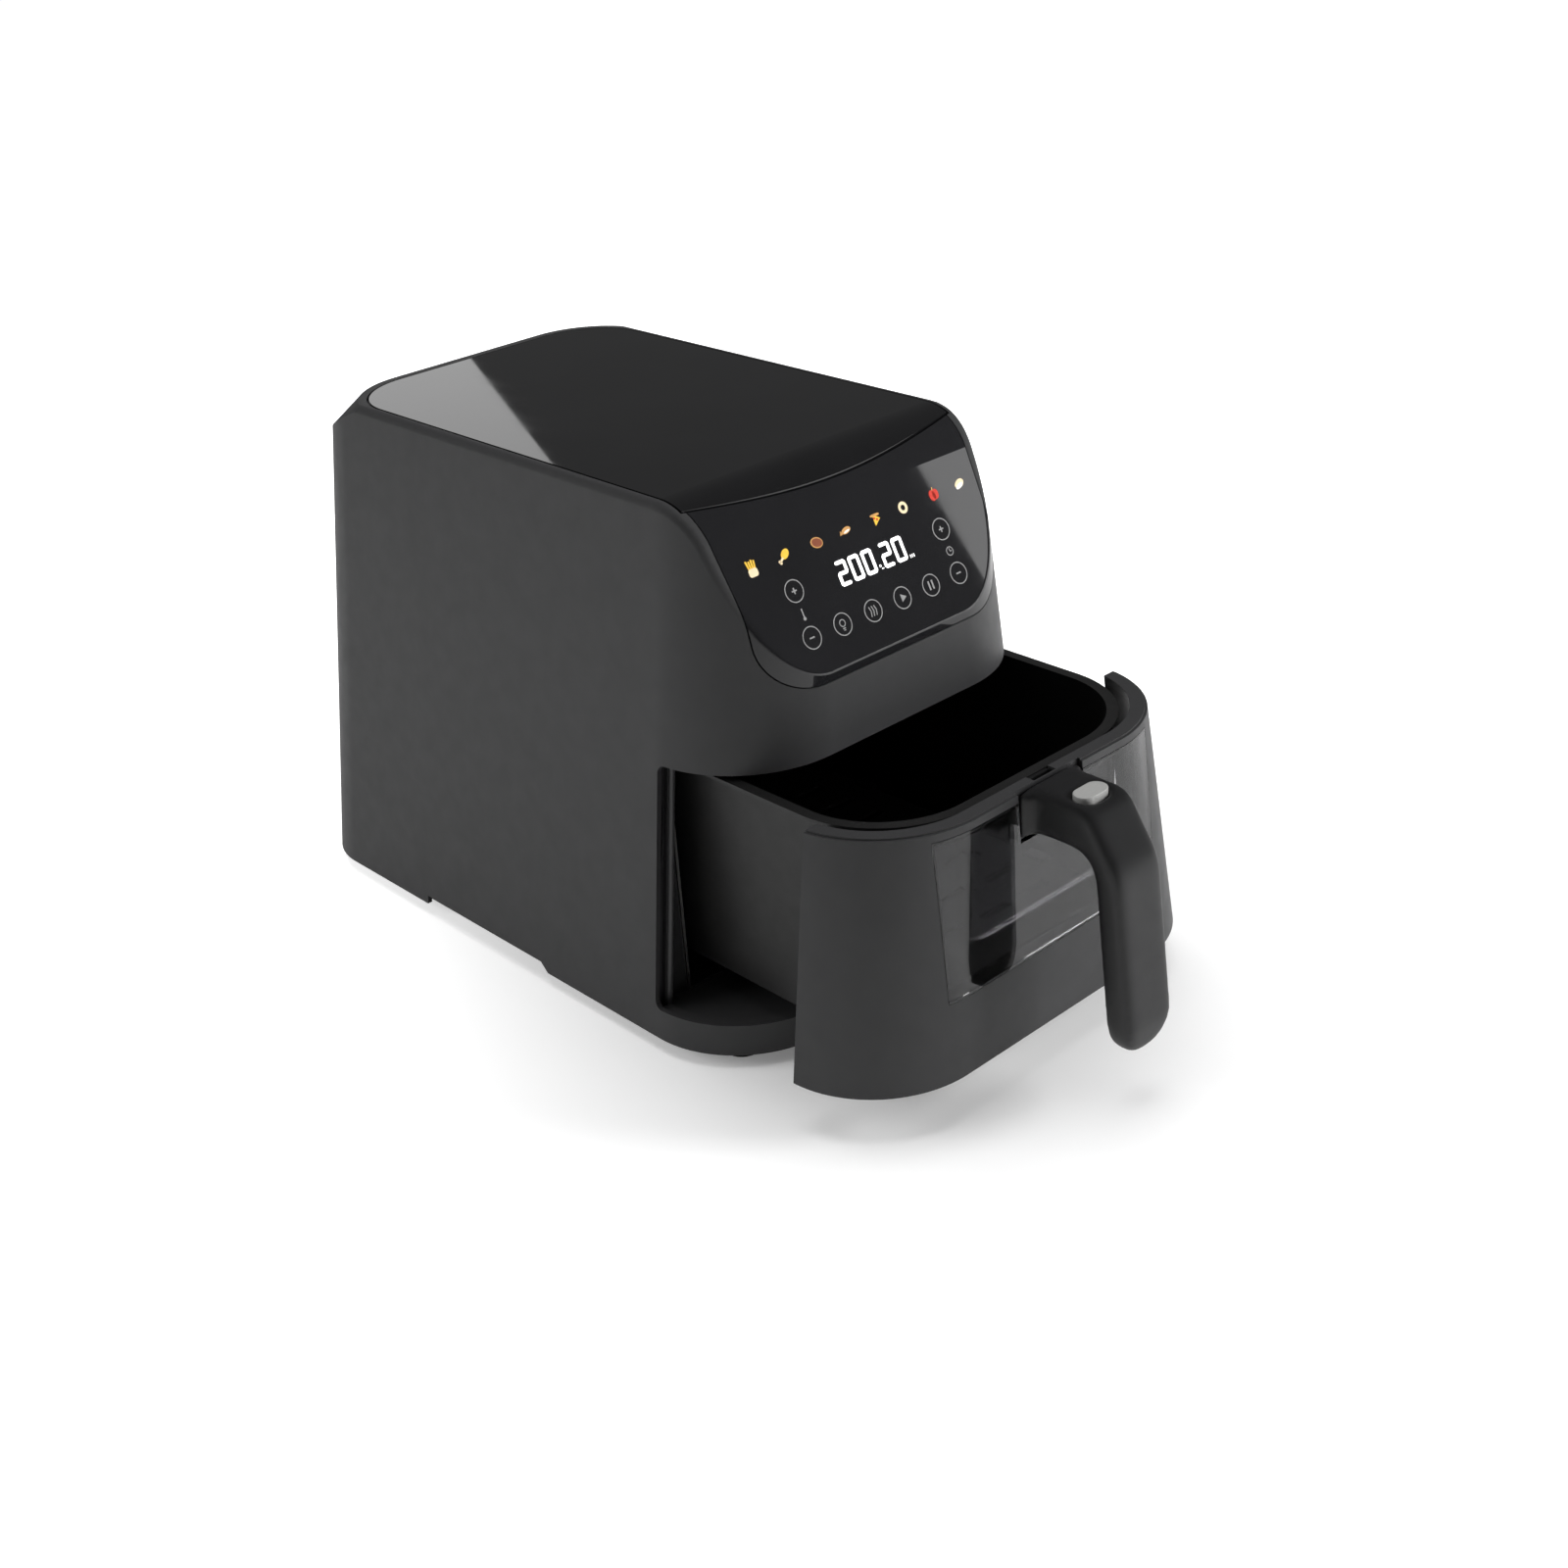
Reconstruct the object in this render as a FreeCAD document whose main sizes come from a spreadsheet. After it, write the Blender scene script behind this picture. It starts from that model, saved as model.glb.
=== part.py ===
import FreeCAD, Part
import math
import os
import Sketcher
from types import SimpleNamespace
from FreeCAD import Placement, Rotation, Vector

# Air fryer with a wrap-around drawer front, drawn with the drawer partly open.
# Millimetres, +Z up, the front faces -Y. Depths are measured forward from the rear edge of the
# housing and heights upward from its lower edge, which stands on the rubber feet.

DIMENSIONS = [
    # Housing
    ("half_depth", 294.0, "half of the whole depth, rear edge to handle"),
    ("foot_height", 8.0, "rubber feet below the housing"),
    ("base_half_width", 143.0, "half width at the lower edge"),
    ("side_slope", 0.130, "inward lean of each side per mm of height"),
    ("back_slope", 0.054, "inward lean of the back per mm of height"),
    ("shell_height", 300.4, "lower edge to top"),
    ("wall", 3.0, "housing wall"),
    ("lid_wall", 5.5, "housing wall under the panels"),
    ("panel_sheet", 2.5, "top panel and control glass"),
    ("back_radius", 52.0, "rounding of the rear corners"),
    ("front_radius", 66.0, "rounding of the front corners"),
    ("base_front", 425.0, "depth of the lower front edge"),
    ("visor_height", 161.2, "underside of the upper housing"),
    ("visor_front", 418.4, "depth of the upper front"),
    ("slope_run", 0.514, "forward run of the control slope per mm of drop"),
    ("slope_top", 370.8, "depth where the slope meets the top"),
    ("brow_radius", 36.0, "rounding from the top into the slope"),
    ("chamfer_top", 47.4, "depth of the rear chamfer's upper edge"),
    ("chamfer_run", 27.5, "rear chamfer, along the depth"),
    ("chamfer_drop", 24.4, "rear chamfer, in height"),
    ("rim_round", 5.0, "rounding along the rim"),
    ("groove", 1.4, "gap round the top panel"),
    ("fold_depth", 373.5, "depth of the fold between the panels at the middle"),
    ("fold_radius", 520.0, "bow of that fold in plan"),
    ("rim_width", 5.0, "housing rim beside the top panel"),
    ("panel_corner", 42.0, "rounding of the top panel's rear corners"),
    ("glass_top", 97.0, "half width of the control glass at the fold"),
    ("glass_waist", 88.0, "half width where its lower corners begin"),
    ("glass_corner", 34.0, "radius of its lower corners"),
    ("glass_length", 108.5, "down the slope, top plane to lower edge"),
    ("glass_gap", 0.6, "gap round the control glass"),
    ("slot_rise", 5.5, "relief along the lower side edges"),
    ("slot_rear", 135.0, "depth where that relief starts"),
    ("slot_front", 250.0, "depth where that relief ends"),
    ("vent_low", 150.0, "height of the rear vent's lower edge"),
    ("vent_high", 222.0, "height of its upper edge"),
    ("vent_half", 62.0, "half width of the rear vent"),
    ("inlet_height", 48.0, "height of the cord inlet"),
    ("inlet_side", 62.0, "cord inlet from the centre line"),
    ("foot_radius", 11.0, "rubber foot"),
    ("foot_side", 110.0, "feet from the centre line"),
    ("foot_front", 391.0, "depth of the front feet"),
    ("foot_rear", 58.0, "depth of the rear feet"),
    # Drawer bay
    ("lip_height", 17.7, "sill below the drawer"),
    ("jamb", 355.0, "depth of the opening's rear edge"),
    ("jamb_radius", 5.0, "rounding of the opening's rear corners"),
    ("tray_floor", 12.0, "height of the tray behind the sill"),
    ("tray_sheet", 2.5, "that tray's thickness"),
    ("step_rise", 1.8, "step behind the sill, above the tray"),
    ("step_width", 7.0, "that step's width"),
    ("bead_near", 8.0, "bead beside the opening, from the housing's side"),
    ("bead_far", 12.5, "that bead's inner edge"),
    ("bay_half_width", 112.0, "steel liner, inside"),
    ("bay_rear", 65.0, "depth of the liner's back"),
    ("bay_front", 352.0, "depth of the liner's mouth"),
    ("bay_roof", 171.0, "height of the liner's roof"),
    ("bay_sheet", 1.5, "liner sheet"),
    ("rail_side", 60.0, "middle of each rail from the centre line"),
    ("rail_width", 14.0, "rail width"),
    ("rail_height", 6.0, "rail height"),
    # Hot air unit
    ("fan_depth", 220.0, "depth of the fan's axis"),
    ("chamber_half", 98.0, "fan chamber, half width"),
    ("chamber_corner", 40.0, "rounding of its corners"),
    ("chamber_top", 222.0, "height of its roof"),
    ("duct_half", 46.0, "half width of the air duct"),
    ("duct_low", 178.0, "height of the duct's underside"),
    ("duct_high", 214.0, "height of the duct's top"),
    ("fan_radius", 56.0, "convection fan"),
    ("fan_floor", 198.0, "height of the convection fan's disc"),
    ("shaft_radius", 4.0, "motor shaft"),
    ("bore_play", 0.02, "fan bores round the shaft"),
    ("shaft_top", 281.0, "height of the shaft's end"),
    ("motor_radius", 36.0, "motor can"),
    ("motor_floor", 232.0, "height of the motor can's underside"),
    ("motor_height", 30.0, "motor can"),
    ("coil_height", 180.0, "height of the heating element's underside"),
    ("coil_radius", 84.0, "outermost turn"),
    ("coil_step", 14.0, "radius lost per half turn"),
    ("coil_width", 6.4, "flattened element tube, across"),
    ("coil_thick", 4.8, "flattened element tube, in height"),
    # Drawer
    ("drawer_out", 106.0, "how far the drawer stands open"),
    ("wing_rear", 359.0, "depth of the drawer wings when shut"),
    ("drawer_floor", 18.6, "height of the drawer front's lower edge"),
    ("drawer_top", 159.0, "height of the drawer front's upper edge"),
    ("drawer_inset", 0.5, "drawer sides inside the housing sides"),
    ("drawer_front_low", 421.5, "front depth at the lower edge when shut"),
    ("drawer_front_high", 415.0, "front depth at the upper edge when shut"),
    ("drawer_skin", 3.0, "drawer front wall"),
    ("strip_width", 9.5, "top lip of the drawer, front to back"),
    ("strip_height", 4.5, "front of that lip, above the pane"),
    ("pane_half_width", 83.0, "smoked window pane"),
    ("pane_floor", 64.0, "height of the pane's lower edge"),
    ("mount_half_width", 25.0, "handle mount in the pane"),
    ("mount_floor", 132.0, "height of the handle mount's underside"),
    ("pan_half_width", 103.0, "pan, outside"),
    ("pan_front", 398.5, "front depth of the pan when shut"),
    ("pan_rear", 104.0, "rear depth of the pan when shut"),
    ("pan_radius", 55.0, "plan radius of the pan's corners"),
    ("pan_floor", 27.0, "height of the pan's underside"),
    ("pan_top", 158.0, "height of the pan's rim"),
    ("pan_sheet", 1.5, "pan wall"),
    ("pan_rim", 5.0, "rim flange"),
    ("pan_foot_bevel", 6.0, "bevel from the pan's walls into its floor"),
    ("sight_half_width", 68.0, "window cut in the pan"),
    ("sight_floor", 46.0, "height of that window's lower edge"),
    ("sight_top", 140.0, "height of its upper edge"),
    ("plate_level", 9.0, "crisper plate above the pan's underside"),
    ("plate_sheet", 2.0, "crisper plate"),
    ("plate_gap", 7.0, "crisper plate inside the pan"),
    # Handle
    ("arm_half_width", 18.0, "handle arm and grip"),
    ("arm_floor", 135.0, "height of the arm's underside"),
    ("arm_top", 160.4, "height of the arm's top"),
    ("grip_end", 21.0, "height of the grip's lower end"),
    ("grip_thick", 16.5, "grip, front to back"),
    ("button_reach", 440.8, "depth of the release button when shut"),
    ("button_length", 21.0, "release button, across"),
    ("button_width", 12.0, "release button, along the arm"),
    ("button_depth", 8.0, "release button below the arm's top"),
    ("button_travel", 3.0, "release button stroke"),
    ("well_depth", 12.0, "button well below the arm's top"),
    ("bar_floor", 143.4, "height of the latch bar's underside"),
    ("bar_thick", 2.6, "latch bar"),
    ("bar_half_width", 7.5, "latch bar"),
    ("channel_floor", 140.0, "height of the latch channel's floor"),
]


class Dim:
    """A size together with the sheet expression that drives it."""

    def __init__(self, value, text):
        self.value = value
        self.text = text

    def _join(self, other, sign, value):
        return Dim(value, f"({self.text} {sign} {as_dim(other).text})")

    def __add__(self, other):
        return self._join(other, "+", self.value + as_dim(other).value)

    def __sub__(self, other):
        return self._join(other, "-", self.value - as_dim(other).value)

    def __mul__(self, other):
        return self._join(other, "*", self.value * as_dim(other).value)

    def __truediv__(self, other):
        return self._join(other, "/", self.value / as_dim(other).value)

    def __neg__(self):
        return Dim(-self.value, f"(-{self.text})")

    def __radd__(self, other):
        return as_dim(other) + self

    def __rsub__(self, other):
        return as_dim(other) - self

    def __rmul__(self, other):
        return as_dim(other) * self

    def root(self):
        return Dim(math.sqrt(self.value), f"sqrt({self.text})")


def as_dim(size):
    return size if isinstance(size, Dim) else Dim(float(size), repr(float(size)))


def number(size):
    return as_dim(size).value


doc = FreeCAD.newDocument("air_fryer")
sheet = doc.addObject("Spreadsheet::Sheet", "dims")
for line_no, (alias, figure, note) in enumerate(DIMENSIONS, 1):
    sheet.set(f"A{line_no}", alias)
    sheet.set(f"B{line_no}", str(figure))
    sheet.setAlias(f"B{line_no}", alias)
    sheet.set(f"C{line_no}", note)
doc.recompute()
d = SimpleNamespace(**{alias: Dim(figure, f"dims.{alias}") for alias, figure, _ in DIMENSIONS})

PARTS = []


def from_back(depth):
    """Y of a depth measured forward from the rear edge."""
    return d.half_depth - depth


def opened(depth):
    """Y of a drawer depth, stated for the shut drawer, with the drawer as it stands."""
    return from_back(depth + d.drawer_out)


def above(height):
    """Z of a height above the housing's lower edge."""
    return d.foot_height + height


def side_at(height):
    """Half width of the housing at a height."""
    return d.base_half_width - d.side_slope * height


def back_at(height):
    """Y of the housing's back at a height."""
    return from_back(d.back_slope * height)


def new(kind, name):
    return doc.addObject(kind, name)


def part(obj, label):
    """Mark an object as a finished piece under its own name."""
    obj.Label = label
    PARTS.append(obj)
    return obj


def bind(obj, prop, size):
    obj.setExpression(prop, as_dim(size).text)


def place(obj, spot, turn=None):
    obj.Placement = Placement(Vector(*[number(size) for size in spot]), turn or Rotation())
    for axis, size in zip("xyz", spot):
        if isinstance(size, Dim):
            bind(obj, f"Placement.Base.{axis}", size)
    return obj


ALONG_Y = Rotation(Vector(1, 0, 0), -90)


def box(name, x, y, z):
    """Block between two limits on each axis."""
    obj = new("Part::Box", name)
    for prop, (low, high) in zip(("Length", "Width", "Height"), (x, y, z)):
        bind(obj, prop, as_dim(high) - low)
    return place(obj, (x[0], y[0], z[0]))


def rod(name, radius, spot, length, turn=None, angle=360):
    obj = new("Part::Cylinder", name)
    bind(obj, "Radius", radius)
    bind(obj, "Height", length)
    obj.Angle = angle
    return place(obj, spot, turn)


def faceted_rod(name, radius, spot, length, sides=24):
    """Rod with many flat sides, for round pieces out of sight."""
    obj = new("Part::Prism", name)
    obj.Polygon = sides
    bind(obj, "Circumradius", radius)
    bind(obj, "Height", length)
    return place(obj, spot)


def fuse(name, *shapes, merge_faces=False):
    obj = new("Part::MultiFuse", name)
    obj.Shapes = list(shapes)
    obj.Refine = merge_faces
    return obj


def group(name, *shapes):
    """Separate solids kept together under one name."""
    obj = new("Part::Compound", name)
    obj.Links = list(shapes)
    return obj


def common(name, first, second):
    obj = new("Part::MultiCommon", name)
    obj.Shapes = [first, second]
    return obj


def cut(name, base, *tools):
    """Take tools away from a base, one after another."""
    for step, tool in enumerate(tools, 1):
        obj = new("Part::Cut", name if step == len(tools) else f"{name}_step_{step}")
        obj.Base = base
        obj.Tool = tool
        base = obj
    return base


def fillet(name, base, radii_of, kind="Part::Fillet"):
    """Round the edges of a base; radii_of gives an edge's end radii, or None to leave it sharp."""
    doc.recompute()
    obj = new(kind, name)
    obj.Base = base
    picked = [(place_no, radii_of(edge)) for place_no, edge in enumerate(base.Shape.Edges, 1)]
    obj.Edges = [(place_no, number(radii[0]), number(radii[1])) for place_no, radii in picked if radii]
    return obj


def hold(sketch, geo, end, spot):
    """Fix one point of a sketch element at a place given in sizes."""
    for kind, size in zip(("DistanceX", "DistanceY"), spot):
        size = as_dim(size)
        if size.value >= 0:
            index = sketch.addConstraint(Sketcher.Constraint(kind, -1, 1, geo, end, size.value))
            bind(sketch, f"Constraints[{index}]", size)
        else:
            index = sketch.addConstraint(Sketcher.Constraint(kind, geo, end, -1, 1, -size.value))
            bind(sketch, f"Constraints[{index}]", -size)


def polygon(sketch, points):
    """Closed outline of straight lines through points given in sizes."""
    spots = [Vector(number(u), number(v), 0) for u, v in points]
    for start, end in zip(spots, spots[1:] + spots[:1]):
        sketch.addGeometry(Part.LineSegment(start, end))
    count = len(spots)
    for step in range(count):
        sketch.addConstraint(Sketcher.Constraint("Coincident", step, 2, (step + 1) % count, 1))
    for step, point in enumerate(points):
        hold(sketch, step, 1, point)


def outline(sketch, half_width, front, back, front_radius, back_radius):
    """Closed outline, alike on both sides, with rounded front and rear corners."""
    w, yf, yb = number(half_width), number(front), number(back)
    rf, rb = number(front_radius), number(back_radius)

    def line(x0, y0, x1, y1):
        sketch.addGeometry(Part.LineSegment(Vector(x0, y0, 0), Vector(x1, y1, 0)))

    def bend(x, y, radius, quarter):
        ring = Part.Circle(Vector(x, y, 0), Vector(0, 0, 1), radius)
        sketch.addGeometry(Part.ArcOfCircle(ring, quarter * math.pi / 2, (quarter + 1) * math.pi / 2))

    line(rf - w, yf, w - rf, yf)
    bend(w - rf, yf + rf, rf, 3)
    line(w, yf + rf, w, yb - rb)
    bend(w - rb, yb - rb, rb, 0)
    line(w - rb, yb, rb - w, yb)
    bend(rb - w, yb - rb, rb, 1)
    line(-w, yb - rb, -w, yf + rf)
    bend(rf - w, yf + rf, rf, 2)
    for step in range(8):
        sketch.addConstraint(Sketcher.Constraint("Tangent", step, 2, (step + 1) % 8, 1))
    for kind, geo in (("Horizontal", 0), ("Vertical", 2), ("Horizontal", 4), ("Vertical", 6)):
        sketch.addConstraint(Sketcher.Constraint(kind, geo))
    sketch.addConstraint(Sketcher.Constraint("Equal", 1, 7))
    sketch.addConstraint(Sketcher.Constraint("Equal", 3, 5))
    for geo, size in ((1, as_dim(front_radius)), (3, as_dim(back_radius))):
        index = sketch.addConstraint(Sketcher.Constraint("Radius", geo, size.value))
        bind(sketch, f"Constraints[{index}]", size)
    for geo, kind, size in ((2, "DistanceX", as_dim(half_width)), (6, "DistanceX", -as_dim(half_width)),
                            (0, "DistanceY", as_dim(front)), (4, "DistanceY", as_dim(back))):
        ends = (-1, 1, geo, 1) if size.value >= 0 else (geo, 1, -1, 1)
        index = sketch.addConstraint(Sketcher.Constraint(kind, *ends, abs(size.value)))
        bind(sketch, f"Constraints[{index}]", size if size.value >= 0 else -size)


# Each plane's turn, the way its blocks grow, and the axis along which it is moved.
PLANES = {
    "XY": (Rotation(), Vector(0, 0, 1), 2),
    "YZ": (Rotation(Vector(0, 1, 0), Vector(0, 0, 1), Vector(1, 0, 0), "XYZ"), Vector(1, 0, 0), 0),
    "XZ": (Rotation(Vector(1, 0, 0), Vector(0, 0, 1), Vector(0, -1, 0), "XYZ"), Vector(0, 1, 0), 1),
}


def extrude(name, plane, low, high, draw, *shape):
    """Block between two levels whose section is drawn by one of the outline functions."""
    turn, along, axis = PLANES[plane]
    spot = [0, 0, 0]
    spot[axis] = low
    sketch = place(new("Sketcher::SketchObject", f"{name}_outline"), spot, turn)
    draw(sketch, *shape)
    obj = new("Part::Extrusion", name)
    obj.Base = sketch
    obj.DirMode = "Custom"
    obj.Dir = along
    obj.Solid = True
    bind(obj, "LengthFwd", as_dim(high) - low)
    return obj


def prism(name, plane, points, low, high, rounds=None):
    """Straight-sided block; rounds gives radii for its long edges by corner number."""
    if not rounds:
        return extrude(name, plane, low, high, polygon, points)
    block = extrude(f"{name}_block", plane, low, high, polygon, points)
    turn, along, _ = PLANES[plane]
    corners = [(turn.multVec(Vector(*[number(size) for size in points[corner]], 0)), radius)
               for corner, radius in rounds.items()]

    def radii_of(edge):
        for corner, radius in corners:
            offset = edge.CenterOfMass - corner
            if (offset - along * offset.dot(along)).Length < 0.01:
                return radius, radius
        return None

    return fillet(name, block, radii_of)


def slab(name, low, high, *shape):
    """Block with the rounded outline, between two heights."""
    return extrude(name, "XY", low, high, outline, *shape)


def leaning_block(name, heights, half_widths, fronts, backs, front_radius, back_radius):
    """Four flat leaning walls with rounded upright corners; pairs are lower and upper values."""
    (low, high), (half_low, half_high) = heights, half_widths
    face_points = [(-half_low, low), (half_low, low), (half_high, high), (-half_high, high)]
    face = prism(f"{name}_face", "XZ", face_points, from_back(700), from_back(-100))
    side_points = [(fronts[0], low), (backs[0], low), (backs[1], high), (fronts[1], high)]
    side = prism(f"{name}_side", "YZ", side_points, -200, 200)
    walls = common(f"{name}_walls", face, side)
    middle = (number(fronts[0]) + number(backs[0])) / 2

    def radii_of(edge):
        start, end = edge.Vertexes
        if abs(start.Z - end.Z) < 1:
            return None
        radius = back_radius if start.Y > middle else front_radius
        return (radius, radius) if radius else None

    return fillet(name, walls, radii_of)


def body(name):
    return new("PartDesign::Body", name)


def body_sketch(owner, name, role, level):
    """Sketch on one of the body's own planes, moved along that plane's normal."""
    sketch = owner.newObject("Sketcher::SketchObject", name)
    planes = [plane for plane in owner.Origin.OriginFeatures if plane.Role == role]
    sketch.AttachmentSupport = [(planes[0], "")]
    sketch.MapMode = "FlatFace"
    sketch.AttachmentOffset = Placement(Vector(0, 0, number(level)), Rotation())
    bind(sketch, "AttachmentOffset.Base.z", level)
    return sketch


def pad(owner, name, sketch, length):
    feature = owner.newObject("PartDesign::Pad", name)
    feature.Profile = sketch
    bind(feature, "Length", length)
    return feature


def pocket(owner, name, sketch, length):
    doc.recompute()
    feature = owner.newObject("PartDesign::Pocket", name)
    feature.Profile = sketch
    bind(feature, "Length", length)
    return feature


def row(owner, name, sketch, axis, length, count):
    """Settings of a straight row along one axis of a sketch."""
    pattern = owner.newObject("PartDesign::LinearPattern", name)
    pattern.Direction = (sketch, [axis])
    bind(pattern, "Length", length)
    pattern.Occurrences = count
    return pattern


# Housing form

TOP = above(d.shell_height)
SLOPE_LEAN = (d.slope_run * d.slope_run + 1).root() - d.slope_run
CHAMFER_LEAN = (d.chamfer_run * d.chamfer_run + d.chamfer_drop * d.chamfer_drop).root() - d.chamfer_run
SPARE = 10


def lower_form(name, inset):
    """Outside of the housing up to the visor, or the same form brought inwards."""
    low, high = as_dim(0), d.visor_height
    return leaning_block(
        name, (above(low), above(high)), (side_at(low) - inset, side_at(high) - inset),
        (from_back(d.base_front) + inset, from_back(d.visor_front) + inset),
        (back_at(low) - inset, back_at(high) - inset), d.front_radius - inset, d.back_radius - inset)


def upper_form(name, inset, lid_inset):
    """The same above the visor, with the top and the control slope; the back runs up square."""
    low, high = d.visor_height, d.shell_height + SPARE
    walls = leaning_block(
        f"{name}_block", (above(low), above(high)), (side_at(low) - inset, side_at(high) - inset),
        (from_back(d.visor_front) + inset, from_back(d.visor_front) + inset),
        (back_at(low) - inset, back_at(high) - inset), d.front_radius - inset, d.back_radius - inset)
    top, drop, rear = TOP - lid_inset, 200, from_back(-60)
    slope_corner = from_back(d.slope_top) + lid_inset * SLOPE_LEAN
    points = [(rear, top - drop), (rear, top), (slope_corner, top),
              (slope_corner - d.slope_run * drop, top - drop)]
    roof = prism(f"{name}_roof", "YZ", points, -200, 200, {2: d.brow_radius - lid_inset})
    return common(name, walls, roof)


def rear_limit(name, lid_inset):
    """Space under the rear chamfer, which goes round both rear corners of the top as a cone."""
    corner = d.panel_corner + d.rim_width + d.groove
    middle, axis_y = side_at(d.shell_height) - corner, from_back(d.chamfer_top) - corner
    radius = corner - lid_inset * CHAMFER_LEAN / d.chamfer_drop
    top = TOP - lid_inset
    low, high = top - 3 * d.chamfer_drop, top + SPARE
    foot_radius, crown_radius = radius + 3 * d.chamfer_run, radius - d.chamfer_run / d.chamfer_drop * SPARE
    pieces = []
    for side in (-1, 1):
        cone = new("Part::Cone", f"{name}_cone_{side + 1}")
        bind(cone, "Radius1", foot_radius)
        bind(cone, "Radius2", crown_radius)
        bind(cone, "Height", high - low)
        pieces.append(place(cone, (side * middle, axis_y, low), Rotation(Vector(0, 0, 1), -90 - 45 * side)))
    ramp = [(axis_y, low), (axis_y + foot_radius, low), (axis_y + crown_radius, high), (axis_y, high)]
    pieces.append(prism(f"{name}_ramp", "YZ", ramp, -middle, middle))
    pieces.append(box(f"{name}_front", (-200, 200), (from_back(600), axis_y), (0, high)))
    pieces.append(box(f"{name}_below", (-200, 200), (axis_y, from_back(-100)), (0, low)))
    return fuse(name, *pieces)


def touches(spot, faces):
    return min(face.distToShape(Part.Vertex(spot))[0] for face in faces) < 0.01


def rim_radii(edge):
    """Radii for the edges where the top or the slope meets the upper walls."""
    span = edge.LastParameter - edge.FirstParameter
    spots = [edge.valueAt(edge.FirstParameter + span * share) for share in (0.2, 0.5, 0.8)]
    walls = [face for face in doc.getObject("outside_upper_block").Shape.Faces if face.BoundBox.ZLength > 1]
    roof = [face for face in doc.getObject("outside_upper_roof").Shape.Faces if face.BoundBox.XLength > 1]
    on_rim = all(touches(spot, walls) and touches(spot, roof) for spot in spots)
    return (d.rim_round, d.rim_round) if on_rim else None


def housing_form():
    """The housing's outside above the visor, its whole outside and its whole inside."""
    rounded = fillet("outside_rim", upper_form("outside_upper", as_dim(0), as_dim(0)), rim_radii)
    upper = common("outside_crown", rounded, rear_limit("outside_rear", as_dim(0)))
    whole = fuse("outside", lower_form("outside_lower", as_dim(0)), upper, merge_faces=True)
    room = common("inside_crown", upper_form("inside_upper", d.wall, d.lid_wall),
                  rear_limit("inside_rear", d.lid_wall))
    return upper, whole, fuse("inside", lower_form("inside_lower", d.wall), room, merge_faces=True)


outside_upper, outside, inside = housing_form()
seat = upper_form("seat", d.panel_sheet, d.panel_sheet)

FOLD_CENTRE = from_back(d.fold_depth - d.fold_radius)


def top_zone(name, grow):
    """Column over the top panel, bounded in front by the bowed fold."""
    half_width = side_at(d.shell_height) - d.rim_width - d.groove + grow
    column = slab(f"{name}_column", TOP - 40, TOP + 20, half_width, from_back(d.slope_top + 20),
                  from_back(d.chamfer_top + d.rim_width + d.groove) + grow, as_dim(2), d.panel_corner + grow)
    bow = rod(f"{name}_bow", d.fold_radius + grow, (0, FOLD_CENTRE, TOP - 60), 100)
    return common(name, column, bow)


SLOPE_TURN = Rotation(Vector(1, 0, 0), math.degrees(math.atan2(1, d.slope_run.value)))
SLOPE_ORIGIN = (0, from_back(d.slope_top), TOP)


def glass_zone(name, grow):
    """Block square to the control slope with the glass's outline; its upper edge follows the fold."""
    sketch = place(new("Sketcher::SketchObject", f"{name}_outline"), SLOPE_ORIGIN, SLOPE_TURN)
    length = d.glass_length + grow
    polygon(sketch, [(-d.glass_top - grow, 20), (-d.glass_waist - grow, -length),
                     (d.glass_waist + grow, -length), (d.glass_top + grow, 20)])
    block = new("Part::Extrusion", f"{name}_block")
    block.Base = sketch
    block.DirMode = "Normal"
    block.Solid = True
    block.LengthFwd = 20
    block.LengthRev = 20

    def lower_corners(edge):
        low = edge.CenterOfMass.z < TOP.value - d.glass_length.value / 2
        return (d.glass_corner + grow,) * 2 if low and edge.BoundBox.XLength < 0.01 else None

    rounded = fillet(f"{name}_rounded", block, lower_corners)
    bow = rod(f"{name}_bow", d.fold_radius + d.groove - grow, (0, FOLD_CENTRE, TOP - 60), 100)
    return cut(name, rounded, bow)


def drawer_opening():
    points = [(from_back(520), above(d.lip_height)), (from_back(d.jamb), above(d.lip_height)),
              (from_back(d.jamb), above(d.visor_height)), (from_back(520), above(d.visor_height))]
    return prism("drawer_opening", "YZ", points, -200, 200, {1: d.jamb_radius, 2: d.jamb_radius})


def side_relief():
    ramp = 18
    points = [(from_back(d.slot_rear), 0), (from_back(d.slot_rear), above(d.slot_rise)),
              (from_back(d.slot_front), above(d.slot_rise)), (from_back(d.slot_front + ramp), 0)]
    return prism("side_relief", "YZ", points, -200, 200)


def outer_shell():
    zones = fuse("recess_zones", top_zone("top_recess", d.groove), glass_zone("glass_recess", d.glass_gap))
    recess = cut("panel_recess", zones, seat)
    vent_hole = box("vent_hole", (-d.vent_half, d.vent_half), (from_back(30), from_back(-30)),
                    (above(d.vent_low), above(d.vent_high)))
    x, z = d.inlet_side, above(d.inlet_height)
    inlet_hole = box("inlet_hole", (x - 9.2, x + 9.2), (from_back(30), from_back(-30)), (z - 9.2, z + 9.2))
    shell = cut("shell", outside, inside, recess, drawer_opening(), side_relief(), vent_hole, inlet_hole)
    part(shell, "outer_shell")


def panels():
    top_sheet = common("top_sheet", outside_upper, top_zone("top_zone", as_dim(0)))
    part(cut("top_cover", top_sheet, seat), "top_panel")
    glass_sheet = common("glass_sheet", outside_upper, glass_zone("glass_zone", as_dim(0)))
    part(cut("glass_cover", glass_sheet, seat), "control_glass")


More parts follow.
